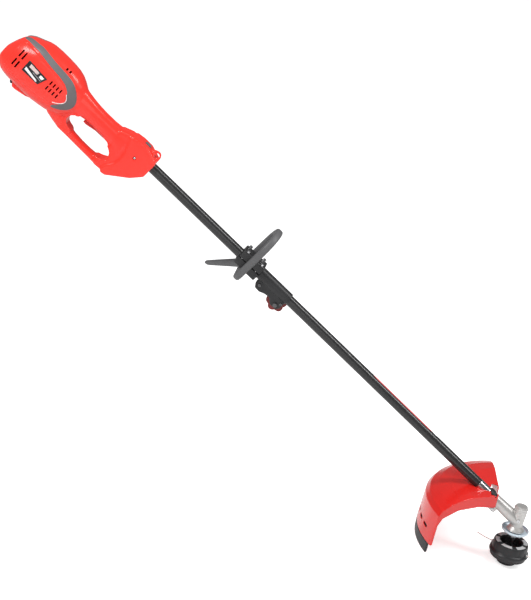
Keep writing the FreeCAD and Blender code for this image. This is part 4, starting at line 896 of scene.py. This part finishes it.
def jaw(name, sign, node, material):
    """Half of the clamp block: a rounded block with a round seat for the tube."""
    profile = [(-24, JAW_GAP), (-24, 17), (-22.5, 20.5), (-19, 22), (-8, 22), (0, 22), (8, 22), (19, 22),
               (22.5, 20.5), (24, 17), (24, JAW_GAP), (SEAT_RADIUS, JAW_GAP)]
    for angle in range(15, 166, 15):
        lean = math.radians(angle)
        profile.append((SEAT_RADIUS * math.cos(lean), max(JAW_GAP, SEAT_RADIUS * math.sin(lean))))
    profile.append((-SEAT_RADIUS, JAW_GAP))
    rings = [[on_shaft(sign * up, left, along) for left, up in profile] for along in (JAW_LOW, JAW_HIGH)]
    block = new_piece(name, *loft(rings), material)
    edge = block.modifiers.new("rounded_edges", "BEVEL")
    edge.width = JAW_BEVEL
    edge.segments = 4
    edge.angle_limit = math.radians(JAW_SHARP)
    settled(block)
    block.data.polygons.foreach_set("use_smooth", [True] * len(block.data.polygons))
    block.data.set_sharp_from_angle(angle=math.radians(JAW_SHARP))
    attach(block, "front_handle")
    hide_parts(node)


jaw("clamp_cap", 1, "handle_clamp", black_plastic)
jaw("clamp_foot", -1, "loop_handle", black_plastic)
dressed(["handle_bolts"], bright_steel, 0.0005)

BAR_ROOT, BAR_TIP = Vector((-32, 58.3, 950)), Vector((-122, 108, 1012))
ROOT_DEEP, TIP_DEEP = 11.5, 5
ROOT_WIDE, TIP_WIDE = 11, 6.5
BAR_SQUARENESS = 3
# How full the bar is at each share of its length, with its ends rounded off.
BAR_FULLNESS = [(0, 0.86), (0.015, 0.97), (0.04, 1), (0.2, 1), (0.4, 1), (0.6, 1), (0.8, 1), (0.92, 1),
                (0.965, 0.93), (0.988, 0.75), (1, 0.42)]
rings = []
for share, fullness in BAR_FULLNESS:
    middle = BAR_ROOT.lerp(BAR_TIP, share)
    deep = (ROOT_DEEP + (TIP_DEEP - ROOT_DEEP) * share) * fullness
    wide = (ROOT_WIDE + (TIP_WIDE - ROOT_WIDE) * share) * fullness
    rings.append([on_shaft(middle.x + high, middle.y, middle.z + across)
                  for across, high in rounded_section(wide, deep, BAR_SQUARENESS)])
barrier = new_piece("barrier_arm", *loft(rings), dark_grey, sharp=60)
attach(barrier, "front_handle")
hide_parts("barrier_bar")


# Gear case ------------------------------------------------------------------------------
# A die-cast aluminium elbow with a split clamping arm for the tube.  The cast skin is
# left bare and slightly grainy.

cast_metal = finish("cast_aluminium_skin", (0.62, 0.61, 0.59), (0.48, 0.47, 0.46), (0.85, 0.84, 0.82),
                    0.38, spread=0.1, grain=700, bump=0.3, metallic=0.6, cloud=90)
softened(["gear_case"], cast_metal, 0.0006, 5)
dressed(["case_clamp_bolt", "grease_plug"], bright_steel, 0.0004)


def turned_piece(name, profile, material, body, nodes, count=96, shape=None):
    """A piece turned round the spindle.  shape(angle, radius, height) may flute it."""
    rings = []
    for radius, height in profile:
        ring = []
        for step in range(count):
            angle = 2 * math.pi * step / count
            reach, rise = shape(angle, radius, height) if shape else (radius, height)
            ring.append(Vector((reach * math.cos(angle), reach * math.sin(angle), rise)) * 0.001)
        rings.append(ring)
    piece = new_piece(name, *endless_skin(rings), material, sharp=40)
    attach(piece, body)
    if nodes:
        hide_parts(*nodes)


RIDGE = 0.9


def cast_ridge(name, radius, height):
    """A fine half-round ridge round the head of the gear case."""
    profile = []
    for angle in range(-90, 91, 30):
        lean = math.radians(angle)
        profile.append((radius - 1 + (RIDGE + 1) * max(0, math.cos(lean)), height + RIDGE * math.sin(lean)))
    profile += [(radius - 2, height + RIDGE), (radius - 2, height - RIDGE)]
    turned_piece(name, profile, cast_metal, "lower_boom", [])


for number, (radius, height) in enumerate(((17, 158), (16.7, 150), (16.4, 142), (22, 97))):
    cast_ridge(f"cast_ridge_{number}", radius, height)


# Cutting head ---------------------------------------------------------------------------
# The black nylon head turns under the gear case: a zinc cup plate, a housing with an open
# recess round the spindle, a cover below and the bump knob that touches the ground.

cup_zinc = finish("pale_zinc_cup", (0.52, 0.62, 0.7), (0.66, 0.73, 0.78), (0.9, 0.92, 0.94), 0.3,
                  metallic=0.25)
head_black = finish("black_head_nylon", (0.014, 0.014, 0.015), (0.024, 0.024, 0.026), (0.1, 0.1, 0.1),
                    0.36, grain=1200, bump=0.12)
tab_grey = finish("light_grey_head_tabs", (0.3, 0.3, 0.31), (0.4, 0.4, 0.41), (0.55, 0.55, 0.55), 0.4)
dressed(["cup_plate"], cup_zinc, 0.0006, 3)


HEAD_POINTS = 144
FLUTES, FLUTE_DEPTH = 12, 0.7


def head_flutes(angle, radius, height):
    """Shallow scallops on the side of the head above its flange."""
    if 40 < height < 58 and radius > 42:
        return radius - FLUTE_DEPTH * max(0, math.cos(FLUTES * angle)) ** 2, height
    return radius, height


# The head's outline as (radius, height): recess, top rim, side, flange and hub.
HEAD_PROFILE = [
    (28.5, 40), (28.5, 59.5), (29.2, 60.6), (30.4, 61), (42, 61), (43.2, 60.7), (43.9, 59.8),
    (44.3, 58.4), (44.9, 56), (45.4, 50), (45.8, 44), (46, 40.6), (46.4, 39.4), (47.4, 38.8),
    (49.4, 36.4), (50.4, 35.4), (50.8, 34.4), (50.8, 30.2), (50.3, 29.2), (49.3, 28.4), (47.6, 27),
    (47.3, 24.4), (46.9, 24), (26.4, 24), (10, 24), (5.2, 30), (5.2, 36), (5.2, 40)]
turned_piece("head_shell", HEAD_PROFILE, head_black, "cutting_head", ["head_housing"],
             HEAD_POINTS, head_flutes)
dressed(["head_cover"], head_black, 0.0006)
dressed(["line_eyelets"], bright_steel, 0.0003)


TABS, FIRST_TAB_ANGLE, TAB_WIDTH, TAB_STEPS = 6, 12, 42, 6
TAB_INNER, TAB_OUTER, TAB_BOTTOM, TAB_TOP, TAB_BEVEL = 30.5, 42.2, 60.4, 61.9, 0.8
points, faces = [], []
for tab in range(TABS):
    middle = FIRST_TAB_ANGLE + 360 * tab / TABS
    base = len(points)
    for radius, inwards in ((TAB_INNER, 1), (TAB_OUTER, -1)):
        for height, inset in ((TAB_BOTTOM, 0), (TAB_TOP, TAB_BEVEL)):
            for step in range(TAB_STEPS + 1):
                angle = math.radians(middle + (TAB_WIDTH - inset * 2) * (step / TAB_STEPS - 0.5))
                reach = radius + inset * inwards
                points.append(Vector((reach * math.cos(angle), reach * math.sin(angle), height)) * 0.001)
    inner_low, inner_high, outer_low, outer_high = (base + (TAB_STEPS + 1) * k for k in range(4))
    around = (inner_low, inner_high, outer_high, outer_low)
    for near, far in zip(around, around[1:] + around[:1]):
        faces += [(near + k, near + k + 1, far + k + 1, far + k) for k in range(TAB_STEPS)]
    faces += [around, tuple(point + TAB_STEPS for point in (inner_low, outer_low, outer_high, inner_high))]
tabs = new_piece("head_top_tabs", points, faces, tab_grey, sharp=30)
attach(tabs, "cutting_head")

GRIPS, GRIP_DEPTH = 18, 0.8


def knob_grips(angle, radius, height):
    """Finger scallops round the bump knob."""
    if 3 < height < 21 and radius > 24:
        return radius - GRIP_DEPTH * max(0, math.cos(GRIPS * angle)) ** 2, height
    return radius, height


BUMP_PROFILE = [
    (0.3, 0), (20, 0), (22.6, 0.5), (24.4, 1.8), (25.2, 3.6), (25.4, 6), (25.4, 12), (25.4, 20),
    (25, 22.4), (24, 24), (20, 24.4), (0.3, 24.4)]
turned_piece("bump_foot", BUMP_PROFILE, head_black, "bump_feed", ["bump_knob"],
             HEAD_POINTS, knob_grips)


# Guard, strap and skirt extension -------------------------------------------------------
# The guard is one moulding of clear red polycarbonate behind and over the head.  A black
# strap clamps it to the tube with screws, and a black strip lengthens its skirt.

CLEARNESS = 0.25
guard_red = finish("clear_red_polycarbonate", (0.8, 0.016, 0.012), (0.88, 0.024, 0.018),
                   (0.9, 0.12, 0.1), 0.22, spread=0.04, grain=300, bump=0.03, coat=0.4)
guard_red.node_tree.nodes["Principled BSDF"].inputs["Transmission Weight"].default_value = CLEARNESS
softened(["guard"], guard_red, 0.0011, 7)
softened(["skirt_extension"], black_plastic, 0.001, 4)
dressed(["guard_strap"], black_plastic, 0.0008, 2)
dressed(["guard_screws"], bright_steel, 0.0004)
blade_steel = finish("dark_blade_steel", (0.25, 0.25, 0.26), (0.32, 0.32, 0.33), (0.6, 0.6, 0.6), 0.35,
                     metallic=1)
dressed(["line_cutter"], blade_steel, 0.0002)


# Inner pieces ---------------------------------------------------------------------------
# The motor, switch, springs, drive rods, bearings, gears and spool stay as they were
# made, each in its own metal or plastic.

copper = finish("enamelled_copper", (0.55, 0.2, 0.09), (0.65, 0.27, 0.13), (0.8, 0.45, 0.3), 0.35,
                metallic=1)
iron = finish("laminated_iron", (0.28, 0.28, 0.29), (0.35, 0.35, 0.36), (0.5, 0.5, 0.5), 0.42,
              metallic=0.9)
carbon = finish("carbon_block", (0.02, 0.02, 0.02), (0.04, 0.04, 0.04), (0.1, 0.1, 0.1), 0.6)
bronze = finish("sintered_bronze", (0.42, 0.27, 0.12), (0.5, 0.33, 0.16), (0.7, 0.5, 0.3), 0.45, metallic=1)
dressed(["field_coils", "commutator"], copper)
dressed(["stator_core", "armature_core"], iron)
dressed(["carbon_brushes"], carbon)
dressed(["upper_bushings", "lower_bushings"], bronze)
dressed(["motor_bearings", "motor_shaft", "shaft_coupling", "upper_drive_shaft", "lower_drive_shaft",
         "drive_pinion", "bevel_gear", "gear_bearings", "output_shaft", "trigger_spring",
         "lock_off_spring", "feed_spring"], bright_steel)
dressed(["brush_holders", "cooling_fan", "power_switch", "line_spool"], black_plastic)
dressed(["line_coil"], line_nylon)
